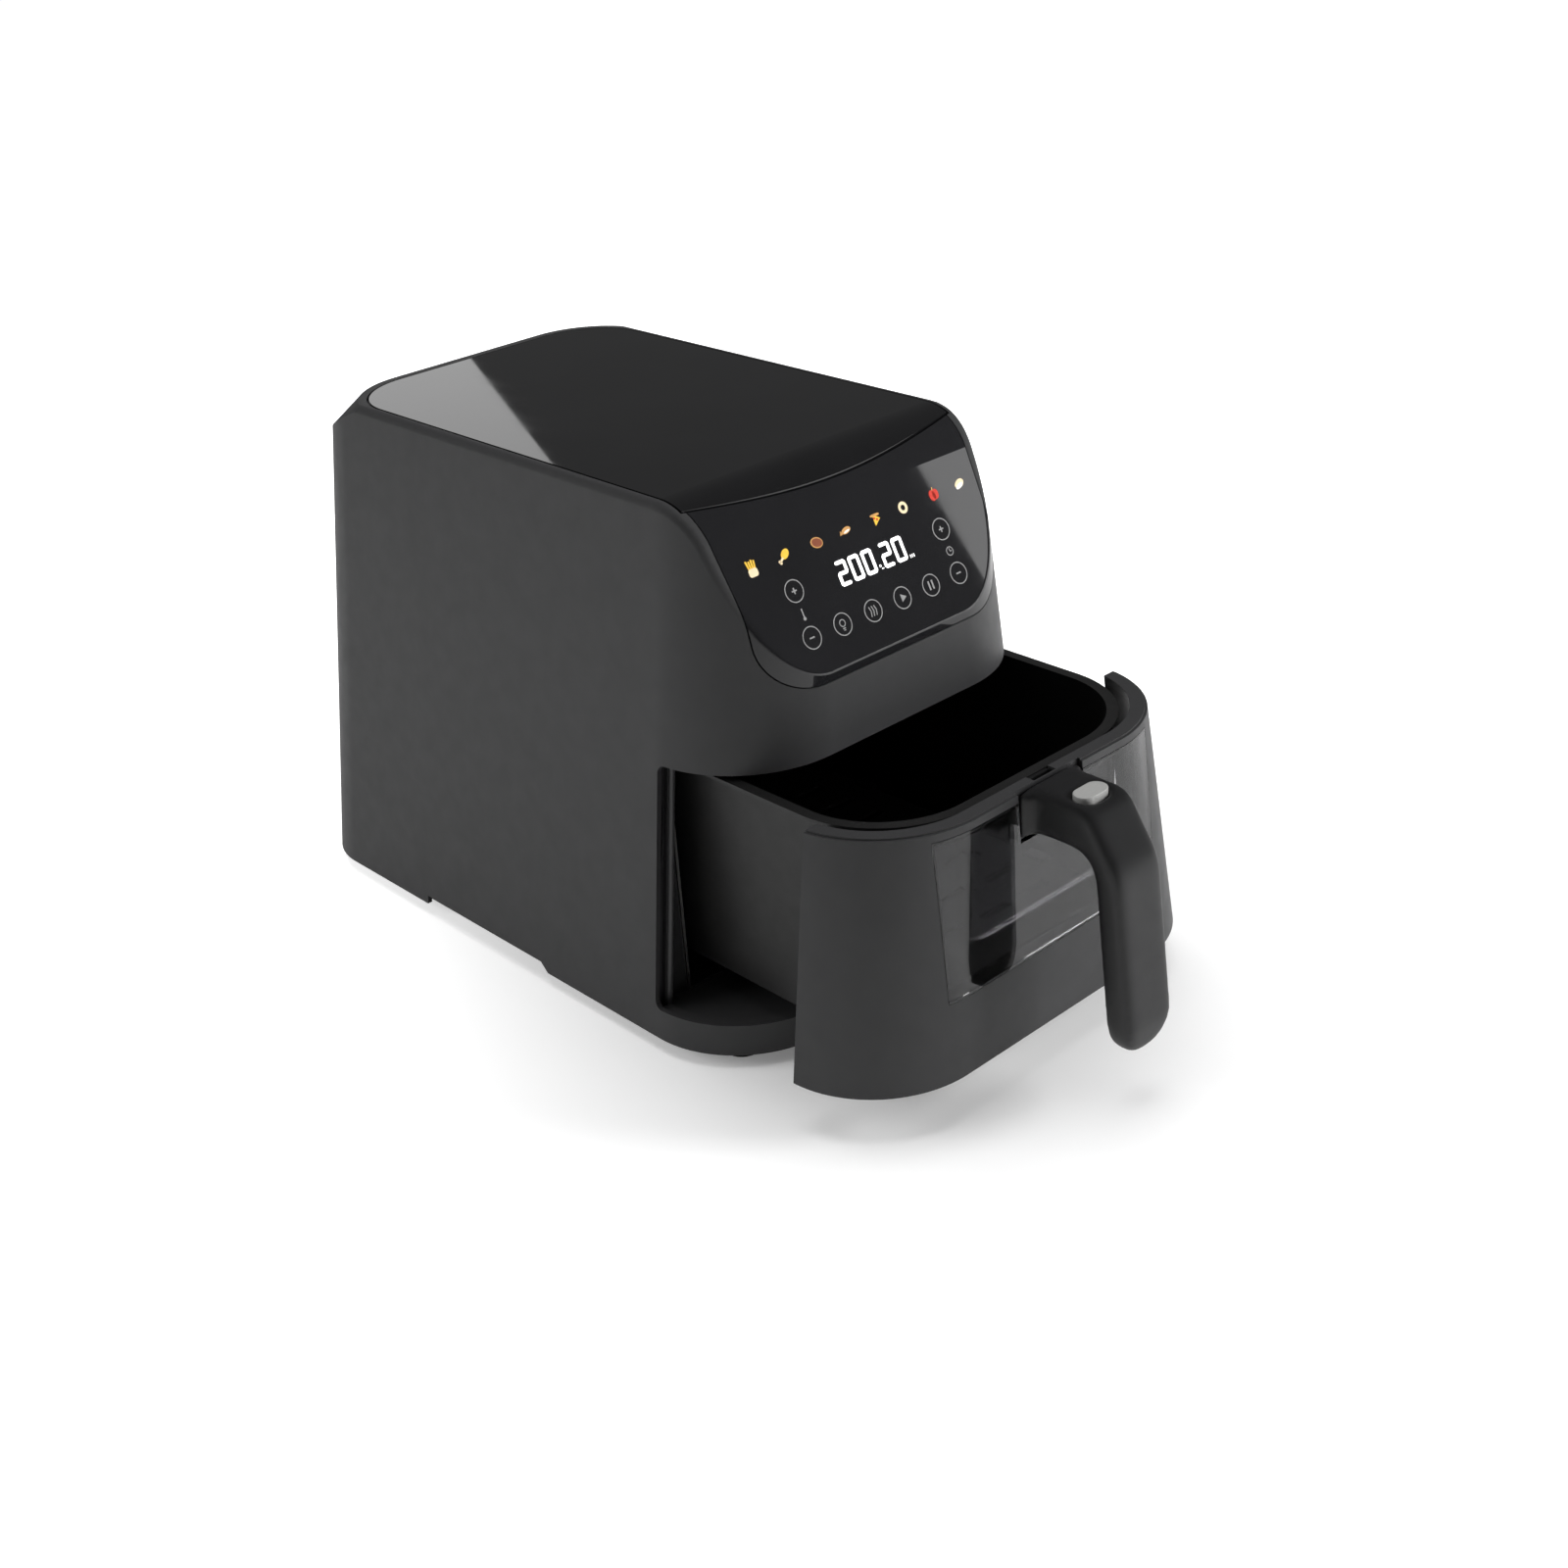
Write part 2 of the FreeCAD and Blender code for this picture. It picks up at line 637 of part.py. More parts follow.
def slope_block(name, middle, half_width, run, depth):
    """Block behind the slope: run spans lengths down the slope, depth spans distances behind it."""
    obj = new("Part::Box", name)
    obj.Length = 2 * half_width
    obj.Width = run[1] - run[0]
    bind(obj, "Height", as_dim(depth[1]) - depth[0])
    corner = SLOPE_TURN.multVec(Vector(middle - half_width, -run[1], -number(depth[1])))
    obj.Placement = Placement(Vector(*[number(size) for size in SLOPE_ORIGIN]) + corner, SLOPE_TURN)
    return obj


def control_electronics():
    board_face = d.lid_wall + 6.5
    part(slope_block("board", 0, 66, (24, 98), (board_face, board_face + 1.6)), "control_board")
    part(slope_block("display", 0, 36, (46, 66), (d.lid_wall, board_face)), "display_module")
    keys = [slope_block(f"key_{column}", (column - 2.5) * 22.2, 4.5, (80, 89), (d.lid_wall, board_face))
            for column in range(6)]
    part(group("keys", *keys), "touch_sensors")


# Base

FEET = [(side * d.foot_side, depth) for side in (-1, 1) for depth in (d.foot_front, d.foot_rear)]
COVER_FLOOR, COVER_SHEET = 1.0, 2.5


def base_cover():
    cover = body("base_cover_body")
    inset = d.wall + 0.5
    plate = body_sketch(cover, "base_plate", "XY_Plane", above(COVER_FLOOR))
    outline(plate, side_at(COVER_SHEET) - inset, from_back(d.base_front) + inset,
            back_at(COVER_SHEET) - inset, d.front_radius - inset, d.back_radius - inset)
    pad(cover, "base_pad", plate, COVER_SHEET)
    slot = body_sketch(cover, "air_slot", "XY_Plane", above(COVER_FLOOR + COVER_SHEET))
    first, half_length, width, pitch, count = 250, 55, 5, 11, 10
    polygon(slot, [(-half_length, from_back(first)), (half_length, from_back(first)),
                   (half_length, from_back(first - width)), (-half_length, from_back(first - width))])
    opening = pocket(cover, "air_slot_cut", slot, 10)
    rows = row(cover, "air_slots", slot, "V_Axis", pitch * (count - 1), count)
    rows.Originals = [opening]
    cover.Tip = rows
    part(cover, "base_cover")


def rubber_feet():
    feet = []
    for place_no, (x, depth) in enumerate(FEET):
        spot = (x, from_back(depth), 0)
        feet.append(faceted_rod(f"foot_{place_no}", d.foot_radius, spot, above(COVER_FLOOR)))
    part(group("feet", *feet), "rubber_feet")


BAY_FLOOR = d.tray_floor + d.tray_sheet + d.bay_sheet


def bay_tray():
    """Tray behind the sill that carries the liner's mouth, with a step along the sill."""
    high = d.tray_floor + d.tray_sheet
    inset = d.wall + 0.1
    front = d.base_front - (d.base_front - d.visor_front) * high / d.visor_height

    def tray_slab(name, low, top, grow, rear):
        return slab(name, above(low), above(top), side_at(high) - inset - grow,
                    from_back(front) + inset + grow, from_back(rear), d.front_radius - inset - grow, 4)

    step_top = high + d.step_rise
    behind = box("step_behind", (-200, 200), (from_back(d.jamb + 1), from_back(d.jamb - 80)),
                 (above(0), above(step_top + 5)))
    step = cut("tray_step", tray_slab("step_outer", high - 1, step_top, 0.4, d.jamb - 50),
               tray_slab("step_inner", high - 5, step_top + 5, d.step_width, d.jamb - 60), behind)
    part(fuse("tray", tray_slab("tray_plate", d.tray_floor, high, 0, d.jamb - 60), step), "bay_tray")


def opening_bezel():
    """Dark frame between the housing wall and the steel liner, with a bead beside the opening."""
    front, rear = d.jamb - 4, d.jamb - 12
    low, shoulder, high = d.tray_floor + d.tray_sheet, d.visor_height, d.visor_height + 14
    inset = d.wall + 0.6
    half_high = side_at(high) - inset - 3
    right_edge = [(side_at(low) - inset, above(low)), (side_at(shoulder) - inset, above(shoulder)),
                  (half_high, above(shoulder)), (half_high, above(high))]
    left_edge = [(-x, z) for x, z in reversed(right_edge)]
    plate = prism("bezel_plate", "XZ", right_edge + left_edge, from_back(front), from_back(rear))
    hole_half = d.bay_half_width + d.bay_sheet
    hole = box("bezel_hole", (-hole_half, hole_half), (from_back(d.jamb + 5), from_back(d.jamb - 30)),
               (above(low - 5), above(d.bay_roof + d.bay_sheet)))
    beads = []
    bead_top = shoulder - 0.5
    for side in (-1, 1):
        corners = [(d.bead_near, low), (d.bead_far, low), (d.bead_far, bead_top), (d.bead_near, bead_top)]
        points = [(side * (side_at(height) - reach), above(height)) for reach, height in corners]
        bead = prism(f"bezel_bead_{side + 1}", "XZ", points, from_back(d.jamb - 0.5), from_back(front - 2))
        beads.append(bead)
    liner_room = box("bead_room", (-hole_half - 0.1, hole_half + 0.1),
                     (from_back(d.bay_front + 0.3), from_back(d.jamb - 30)),
                     (above(low - 5), above(high + 5)))
    ribs = cut("bezel_ribs", group("bezel_beads", *beads), liner_room)
    part(fuse("bezel", cut("bezel_frame", plate, hole), ribs), "opening_bezel")


# Steel liner and hot air unit

FAN_Y = from_back(d.fan_depth)


def chamber_slab(name, low, high, inset):
    half = d.chamber_half - inset
    radius = d.chamber_corner - inset
    return slab(name, above(low), above(high), half, FAN_Y - half, FAN_Y + half, radius, radius)


def cavity_liner():
    sheet_size = d.bay_sheet
    outer = box("liner_outer", (-(d.bay_half_width + sheet_size), d.bay_half_width + sheet_size),
                (from_back(d.bay_front), from_back(d.bay_rear - sheet_size)),
                (above(BAY_FLOOR - sheet_size), above(d.bay_roof + sheet_size)))
    room = box("liner_room", (-d.bay_half_width, d.bay_half_width),
               (from_back(d.bay_front + 5), from_back(d.bay_rear)), (above(BAY_FLOOR), above(d.bay_roof)))
    mouth = chamber_slab("liner_mouth", d.bay_roof - 5, d.bay_roof + 5, 8)
    part(cut("liner", outer, room, mouth), "cavity_liner")


HALF_TURNS = 3


def coil_spots():
    """X of the points where the element's half turns meet, from the outermost inwards."""
    spots = [d.coil_radius]
    for turn in range(HALF_TURNS):
        width = (d.coil_radius - d.coil_step * (turn / 2 + 0.25)) * 2
        spots.append(spots[-1] - width if turn % 2 == 0 else spots[-1] + width)
    return spots


def heating_element():
    """Flattened tube wound in half turns, both ends led up to the chamber's roof."""
    spots = coil_spots()
    pieces = []
    for turn, (start, end) in enumerate(zip(spots, spots[1:])):
        spot = ((start + end) / 2, FAN_Y, above(d.coil_height))
        radius = (start - end if turn % 2 == 0 else end - start) / 2
        outer = faceted_rod(f"coil_outer_{turn}", radius + d.coil_width / 2, spot, d.coil_thick, 40)
        inner = faceted_rod(f"coil_inner_{turn}", radius - d.coil_width / 2, spot, d.coil_thick, 40)
        other_half = (FAN_Y - 100, FAN_Y) if turn % 2 == 0 else (FAN_Y, FAN_Y + 100)
        away = box(f"coil_away_{turn}", (-120, 120), other_half, (above(170), above(200)))
        pieces.append(cut(f"coil_{turn}", outer, inner, away))
    for end_no, x in enumerate((spots[0], spots[-1])):
        pieces.append(faceted_rod(f"coil_lead_{end_no}", d.coil_width / 2, (x, FAN_Y, above(d.coil_height)),
                                  d.chamber_top - d.bay_sheet - d.coil_height, 12))
    part(fuse("element", *pieces), "heating_element")


PROBE_SPOT = (70, 64)
POST_SPOTS = [(60.4, 56.9), (-53.4, 56.9), (48.5, -52.0), (-55.5, -52.0)]


def fan_chamber():
    sheet_size = d.bay_sheet
    floor = d.bay_roof + d.bay_sheet
    outer = chamber_slab("chamber_outer", floor, d.chamber_top, as_dim(0))
    room = chamber_slab("chamber_room", floor - 5, d.chamber_top - sheet_size, sheet_size)
    shaft_hole = faceted_rod("shaft_hole", 12, (0, FAN_Y, above(d.chamber_top - 10)), 20, 16)
    outlet = box("chamber_outlet", (-(d.duct_half - 2), d.duct_half - 2),
                 (FAN_Y + d.chamber_half - 5, FAN_Y + d.chamber_half + 5),
                 (above(d.duct_low + 2), above(d.duct_high - 2)))
    part(cut("chamber", outer, room, shaft_hole, outlet), "fan_chamber")
    low = d.coil_height + d.coil_thick
    posts = [box(f"post_{n}", (x - 2, x + 2), (FAN_Y + y - 2, FAN_Y + y + 2),
                 (above(low), above(d.chamber_top - sheet_size))) for n, (x, y) in enumerate(POST_SPOTS)]
    part(group("posts", *posts), "element_posts")
    x, y = PROBE_SPOT
    part(box("probe", (x - 2, x + 2), (FAN_Y + y - 2, FAN_Y + y + 2),
             (above(188), above(d.chamber_top - sheet_size))), "temperature_sensor")


def vanes(name, count, inner, outer, height, thick, level, lean):
    """Ring of straight vanes set at a lean to the radius."""
    pieces = []
    for place_no in range(count):
        vane = new("Part::Box", f"{name}_{place_no}")
        vane.Length = outer - inner
        vane.Width = thick
        vane.Height = height
        turn = Rotation(Vector(0, 0, 1), 360.0 * place_no / count)
        spot = Vector(0, FAN_Y.value, above(level).value) + turn.multVec(Vector(inner, -thick / 2, 0))
        vane.Placement = Placement(spot, turn.multiply(Rotation(Vector(0, 0, 1), lean)))
        pieces.append(vane)
    return pieces


def fan_wheel(name, disc_radius, hub_radius, height, level, *vane_sizes):
    disc = faceted_rod(f"{name}_disc", disc_radius, (0, FAN_Y, above(level)), 1.5, 32)
    hub = faceted_rod(f"{name}_hub", hub_radius, (0, FAN_Y, above(level)), height, 16)
    bore = rod(f"{name}_bore", d.shaft_radius + d.bore_play, (0, FAN_Y, above(level - 5)), 40)
    wheel = fuse(f"{name}_wheel", disc, hub, *vanes(f"{name}_vane", *vane_sizes))
    part(cut(f"{name}_turned", wheel, bore), name)


def rotor():
    fan_wheel("convection_fan", d.fan_radius, 11, 14, d.fan_floor, 8, 20, 53, 14, 1.5, d.fan_floor, 14)
    level = d.motor_floor + d.motor_height + 7
    fan_wheel("cooling_fan", 24, 9, 10, level, 8, 14, 48, 10, 1.2, level, 20)
    low = d.fan_floor - 3
    part(rod("shaft", d.shaft_radius, (0, FAN_Y, above(low)), d.shaft_top - low), "motor_shaft")


def motor():
    can = faceted_rod("motor_can", d.motor_radius, (0, FAN_Y, above(d.motor_floor)), d.motor_height, 32)
    bore = faceted_rod("motor_bore", d.shaft_radius + 0.6, (0, FAN_Y, above(d.motor_floor - 10)), 60, 16)
    part(cut("motor_turned", can, bore), "fan_motor")
    sheet_size, half_span, half_width = 2, 80, 40
    low = d.motor_floor - sheet_size
    strap = box("bracket_strap", (-half_span, half_span), (FAN_Y - half_width, FAN_Y + half_width),
                (above(low), above(d.motor_floor)))
    legs = [box(f"bracket_leg_{n}", (x, x + sheet_size), (FAN_Y - half_width, FAN_Y + half_width),
                (above(d.chamber_top), above(d.motor_floor)))
            for n, x in enumerate((-half_span, half_span - sheet_size))]
    window = box("bracket_window", (-20, 20), (FAN_Y - 20, FAN_Y + 20),
                 (above(low - 1), above(d.motor_floor + 1)))
    part(cut("bracket", fuse("bracket_frame", strap, *legs), window), "motor_bracket")


def fan_guard():
    """Grille of straight bars under the liner's roof opening."""
    half, bar, count = d.chamber_half - 4, 3, 11
    low, high = above(d.bay_roof - 2), above(d.bay_roof)
    rails = [box(f"guard_rail_{n}", (x - bar, x + bar), (FAN_Y - half, FAN_Y + half), (low, high))
             for n, x in enumerate((-half, half))]
    pitch = half * 2 / (count - 1)
    middles = [FAN_Y - half + pitch * n for n in range(count)]
    bars = [box(f"guard_bar_{n}", (-half, half), (y - bar / 2, y + bar / 2), (low, high))
            for n, y in enumerate(middles)]
    part(fuse("guard", *rails, *bars), "fan_guard")


def air_duct():
    """Duct that leads the chamber's spent air to the rear vent."""
    half, low, high, thick = d.duct_half, d.duct_low, d.duct_high, d.bay_sheet
    front, rear = FAN_Y + d.chamber_half, from_back(17)
    outer = box("duct_outer", (-half, half), (front, rear), (above(low), above(high)))
    bore = box("duct_bore", (-(half - thick), half - thick), (front - 5, rear + 5),
               (above(low + thick), above(high - thick)))
    part(cut("duct", outer, bore), "air_duct")


def rear_vent():
    """Louvred outlet set flush in the back wall."""
    vent = body("rear_vent_body")
    gap, margin, slat, pitch, count = 0.3, 7, 5, 9, 7
    low, high, half = above(d.vent_low + gap), above(d.vent_high - gap), d.vent_half - gap
    frame = body_sketch(vent, "vent_frame", "XZ_Plane", -(from_back(17)))
    polygon(frame, [(-half, low), (half, low), (half, high), (-half, high)])
    plate = pad(vent, "vent_pad", frame, 16)
    plate.Reversed = True
    slot = body_sketch(vent, "vent_slot", "XZ_Plane", -(from_back(17)))
    polygon(slot, [(-half + margin, low + margin), (half - margin, low + margin),
                   (half - margin, low + margin + slat), (-half + margin, low + margin + slat)])
    opening = pocket(vent, "vent_slot_cut", slot, 40)
    opening.Midplane = True
    rows = row(vent, "louvres", slot, "V_Axis", pitch * (count - 1), count)
    rows.Originals = [opening]
    vent.Tip = rows
    part(common("vent", vent, outside), "rear_vent")


def cord_inlet():
    x, z = d.inlet_side, above(d.inlet_height)
    flange = box("inlet_flange", (x - 12, x + 12), (from_back(1.8), from_back(0.2)), (z - 12, z + 12))
    sleeve = box("inlet_sleeve", (x - 9, x + 9), (from_back(14), from_back(1)), (z - 9, z + 9))
    hole = rod("inlet_bore", 4, (x, from_back(20), z), 40, ALONG_Y)
    part(cut("inlet", fuse("inlet_body", flange, sleeve), hole), "cord_inlet")


def power_electronics():
    liner_face = d.bay_rear - d.bay_sheet
    board_front, board_rear = as_dim(42), 40.4
    part(box("mains_board", (-70, 40), (from_back(board_front), from_back(board_rear)),
             (above(62), above(150))), "power_board")
    relay = box("relay", (-60, -42), (from_back(board_rear), from_back(24)), (above(110), above(138)))
    capacitor = box("capacitor", (-20, 4), (from_back(board_rear), from_back(28)), (above(118), above(130)))
    transformer = box("transformer", (5, 31), (from_back(board_rear), from_back(22)), (above(72), above(98)))
    part(group("board_pieces", relay, capacitor, transformer), "board_components")
    corners = [(x, z) for x in (-64, 34) for z in (68, 144)]
    posts = [box(f"board_post_{n}", (x - 3, x + 3), (from_back(liner_face), from_back(board_front)),
                 (above(z - 3), above(z + 3))) for n, (x, z) in enumerate(corners)]
    part(group("posts_of_board", *posts), "board_posts")
    part(box("switch_case", (74, 98), (from_back(liner_face), from_back(liner_face - 10)),
             (above(100), above(116))), "drawer_switch")


def bay_rails():
    rails = []
    for side in (-1, 1):
        middle = side * d.rail_side
        foot, crown = d.rail_width / 2, d.rail_width / 3
        low, high = above(BAY_FLOOR), above(BAY_FLOOR + d.rail_height)
        points = [(middle - foot, low), (middle + foot, low), (middle + crown, high), (middle - crown, high)]
        front, rear = from_back(d.bay_front - 4), from_back(d.bay_rear + 8)
        rails.append(prism(f"rail_{side + 1}", "XZ", points, front, rear))
    part(group("rails", *rails), "bay_rails")


# Drawer


def drawer_front_at(height):
    share = (height - d.drawer_floor) / (d.drawer_top - d.drawer_floor)
    return d.drawer_front_low + (d.drawer_front_high - d.drawer_front_low) * share


def drawer_form(name, inset, low, high):
    """The drawer front's outside, or the same form brought inwards, as a solid that runs on behind."""
    heights = (as_dim(low), as_dim(high))
    radius = d.front_radius - d.drawer_inset - inset
    return leaning_block(
        name, [above(height) for height in heights],
        [side_at(height) - d.drawer_inset - inset for height in heights],
        [opened(drawer_front_at(height)) + inset for height in heights],
        [opened(d.wing_rear - 40)] * 2, radius, None)


def behind_wings(name):
    return box(name, (-200, 200), (opened(d.wing_rear), opened(d.wing_rear - 60)), (0, 250))


PANE_FRONT, PANE_REAR = opened(d.drawer_front_low + 10), opened(d.drawer_front_low - 40)
LIP_FLOOR, LIP_TOP = d.drawer_top - d.strip_height, d.drawer_top + 1


def pane_field(name, grow):
    half = d.pane_half_width + grow
    return box(name, (-half, half), (PANE_FRONT, PANE_REAR),
               (above(d.pane_floor - grow), above(LIP_FLOOR + grow)))


def mount_room(name, gap):
    """Room for the root of the handle, with a gap behind it."""
    return box(name, (-d.mount_half_width, d.mount_half_width),
               (PANE_FRONT, opened(HANDLE_ROOT - gap)), (above(d.mount_floor), above(LIP_TOP + 5)))


SLOT_HALF = d.bar_half_width + 1


def latch_slot(name):
    """Way of the latch's tip through the top lip and the frame."""
    return box(name, (-SLOT_HALF, SLOT_HALF),
               (opened(d.drawer_front_high - 3.8), opened(d.drawer_front_high - 20)),
               (above(d.channel_floor), above(LIP_TOP + 5)))


def drawer_cover():
    """Curved skin of the drawer, with the lip that goes round its top."""
    skin = cut("cover_skin", drawer_form("cover_outside", as_dim(0), d.drawer_floor, d.drawer_top),
               drawer_form("cover_hollow", d.drawer_skin, d.drawer_floor - 3, d.drawer_top + 3),
               pane_field("pane_hole", as_dim(0.25)))
    lip = cut("cover_lip", drawer_form("lip_outside", d.drawer_skin / 2, LIP_FLOOR, LIP_TOP),
              drawer_form("lip_inside", d.strip_width, LIP_FLOOR - 3, LIP_TOP + 3))
    part(cut("cover", fuse("cover_blank", skin, lip), behind_wings("cover_trim"),
             mount_room("cover_mount", 0.2), latch_slot("cover_slot")), "drawer_front")


def smoked_pane():
    sheet_form = common("pane_sheet", drawer_form("pane_outside", as_dim(0), d.drawer_floor, d.drawer_top),
                        pane_field("pane_zone", as_dim(0)))
    hollow = drawer_form("pane_hollow", d.drawer_skin, d.drawer_floor - 3, d.drawer_top + 3)
    part(cut("pane", sheet_form, hollow, mount_room("pane_mount", 0.2)), "smoked_pane")


def drawer_frame():
    """Hollow inner frame behind the drawer front, under its lip."""
    near, far, sheet_size = d.drawer_skin, d.strip_width, 2.5
    floor, top = d.drawer_floor + 3, LIP_FLOOR
    outer = drawer_form("frame_outside", near, floor, top)
    inner = drawer_form("frame_inside", far, floor - 5, top + 5)
    channel = cut("frame_channel",
                  drawer_form("channel_outside", near - 1, floor + sheet_size, top - sheet_size),
                  drawer_form("channel_inside", far - sheet_size, floor - 8, top + 8))
    half = d.pane_half_width - 6
    window = box("frame_window", (-half, half), (opened(d.drawer_front_low + 10), opened(d.pan_front - 20)),
                 (above(d.pane_floor + 4), above(top - sheet_size)))
    ribs = cut("frame_ring", outer, inner, channel, window, behind_wings("frame_trim"))
    boss = box("frame_boss", (-d.mount_half_width + 1, d.mount_half_width - 1),
               (opened(HANDLE_ROOT), opened(d.drawer_front_high - far)),
               (above(d.mount_floor), above(top)))
    way = box("latch_way", (-SLOT_HALF, SLOT_HALF),
              (opened(d.drawer_front_high + 5), opened(d.drawer_front_high - 20)),
              (above(d.channel_floor), above(d.arm_top - d.well_depth)))
    part(cut("frame", fuse("frame_blank", ribs, boss), latch_slot("frame_slot"), way,
             mount_room("frame_mount", 0)), "drawer_frame")


def pan_slab(name, low, high, grow):
    return slab(name, above(low), above(high), d.pan_half_width + grow, opened(d.pan_front) - grow,
                opened(d.pan_rear) + grow, d.pan_radius + grow, d.pan_radius + grow)


def foot_edges(level, size):
    """Picks the lowest edges of a pan form."""
    return lambda edge: (size, size) if edge.BoundBox.ZMax < number(level) + 0.01 else None


def sight_box(name, grow):
    half = d.sight_half_width + grow
    return box(name, (-half, half), (opened(d.pan_front + 20), opened(d.pan_front - 60)),
               (above(d.sight_floor - grow), above(d.sight_top + grow)))


def pan():
    thick = d.pan_sheet
    outer = fillet("pan_outer", pan_slab("pan_block", d.pan_floor, d.pan_top, as_dim(0)),
                   foot_edges(above(d.pan_floor), d.pan_foot_bevel), "Part::Chamfer")
    room = fillet("pan_room", pan_slab("pan_hollow", d.pan_floor + thick, d.pan_top + 3, -thick),
                  foot_edges(above(d.pan_floor + thick), d.pan_foot_bevel - thick / 2), "Part::Chamfer")
    rim = pan_slab("pan_flange", d.pan_top - 2, d.pan_top, d.pan_rim)
    part(cut("pan_piece", fuse("pan_blank", outer, rim), room, sight_box("sight_hole", as_dim(0))), "pan")


def sight_window():
    """Bent glass over the pan's window, with its gasket against the wall."""
    seal, glass = 1.0, 3.4
    low, high = d.sight_floor - 8, d.sight_top + 8
    glass_band = cut("glass_band", pan_slab("glass_outer", low, high, as_dim(glass)),
                     pan_slab("glass_inner", low - 2, high + 2, as_dim(seal)))
    part(common("sight_sheet", glass_band, sight_box("glass_field", as_dim(5))), "sight_glass")
    seal_band = cut("seal_band", pan_slab("seal_outer", low, high, as_dim(seal)),
                    pan_slab("seal_inner", low - 2, high + 2, as_dim(0)))
    ring = cut("seal_ring", sight_box("seal_field", as_dim(6)), sight_box("seal_hole", as_dim(1)))
    part(common("seal", seal_band, ring), "window_gasket")


def pan_supports():
    bracket_low, bracket_high = d.pan_floor + 2, d.sight_floor - 7
    half = 40
    inner_wall = drawer_front_at(bracket_high) - d.strip_width
    part(box("front_bracket", (-half, half), (opened(inner_wall), opened(d.pan_front)),
             (above(bracket_low), above(bracket_high))), "pan_bracket")
    glides = []
    for side in (-1, 1):
        middle = side * d.rail_side
        glides.append(box(f"glide_{side + 1}", (middle - 5, middle + 5),
                          (opened(d.pan_front - 60), opened(d.pan_rear + 50)),
                          (above(BAY_FLOOR + d.rail_height + 0.4), above(d.pan_floor))))
    part(group("glides", *glides), "pan_glides")


def crisper_plate():
    plate = body("crisper_plate_body")
    level, gap = d.pan_floor + d.plate_level, d.plate_gap
    shape = body_sketch(plate, "plate_outline", "XY_Plane", above(level))
    outline(shape, d.pan_half_width - gap, opened(d.pan_front) + gap, opened(d.pan_rear) - gap,
            d.pan_radius - gap, d.pan_radius - gap)
    pad(plate, "plate_pad", shape, d.plate_sheet)
    slot = body_sketch(plate, "plate_slot", "XY_Plane", above(level + d.plate_sheet))
    length, width, across, along, columns, lines = 22, 6, 33, 26, 5, 8
    left = -(across * (columns - 1) + length) / 2
    first = opened((d.pan_front + d.pan_rear) / 2 + along * (lines - 1) / 2) - width / 2
    right, last = left + length, first + width
    polygon(slot, [(left, first), (right, first), (right, last), (left, last)])
    opening = pocket(plate, "plate_slot_cut", slot, 10)
    steps = [row(plate, "slots_across", slot, "H_Axis", across * (columns - 1), columns),
             row(plate, "slots_along", slot, "V_Axis", along * (lines - 1), lines)]
    grid = plate.newObject("PartDesign::MultiTransform", "slot_grid")
    grid.Originals = [opening]
    grid.Transformations = steps
    plate.Tip = grid
    part(plate, "crisper_plate")


def plate_bumpers():
    """Rubber clips on the plate's long edges, each with a leg on the pan's floor."""
    level = d.pan_floor + d.plate_level
    floor = d.pan_floor + d.pan_sheet + 0.1
    edge, half_length, grip = d.pan_half_width - d.plate_gap, 7, 5

    def side_box(name, side, reach, length, heights):
        span = reach if side > 0 else (-reach[1], -reach[0])
        return box(name, span, length, (above(heights[0]), above(heights[1])))

    bumpers = []
    for place_no, (side, depth) in enumerate(((-1, 320), (1, 320), (-1, 180), (1, 180))):
        middle = opened(depth)
        length, slot_length = (middle - half_length, middle + half_length), (middle - 9, middle + 9)
        clip = side_box(f"bumper_clip_{place_no}", side, (edge - grip, edge + 3), length,
                        (level - 1.4, level + 4))
        leg = side_box(f"bumper_leg_{place_no}", side, (edge - 8, edge - 1.5), length, (floor, level))
        slot = side_box(f"bumper_slot_{place_no}", side, (edge - 12, edge), slot_length,
                        (level, level + d.plate_sheet))
        bumpers.append(cut(f"bumper_{place_no}", fuse(f"bumper_block_{place_no}", clip, leg), slot))
    part(group("bumpers", *bumpers), "plate_bumpers")


# Handle

HANDLE_ROOT = d.drawer_front_high - d.drawer_skin
REACH = d.half_depth * 2 - d.drawer_out


def button_column(name, grow, low, high):
    """Oval column of the release button."""
    half_length, half_width = d.button_length / 2 + grow, d.button_width / 2 + grow
    y = opened(d.button_reach)
    points = [(-half_length, y - half_width), (half_length, y - half_width),
              (half_length, y + half_width), (-half_length, y + half_width)]
    radius = half_width - 0.05
    return prism(name, "XY", points, above(low), above(high), {corner: radius for corner in range(4)})


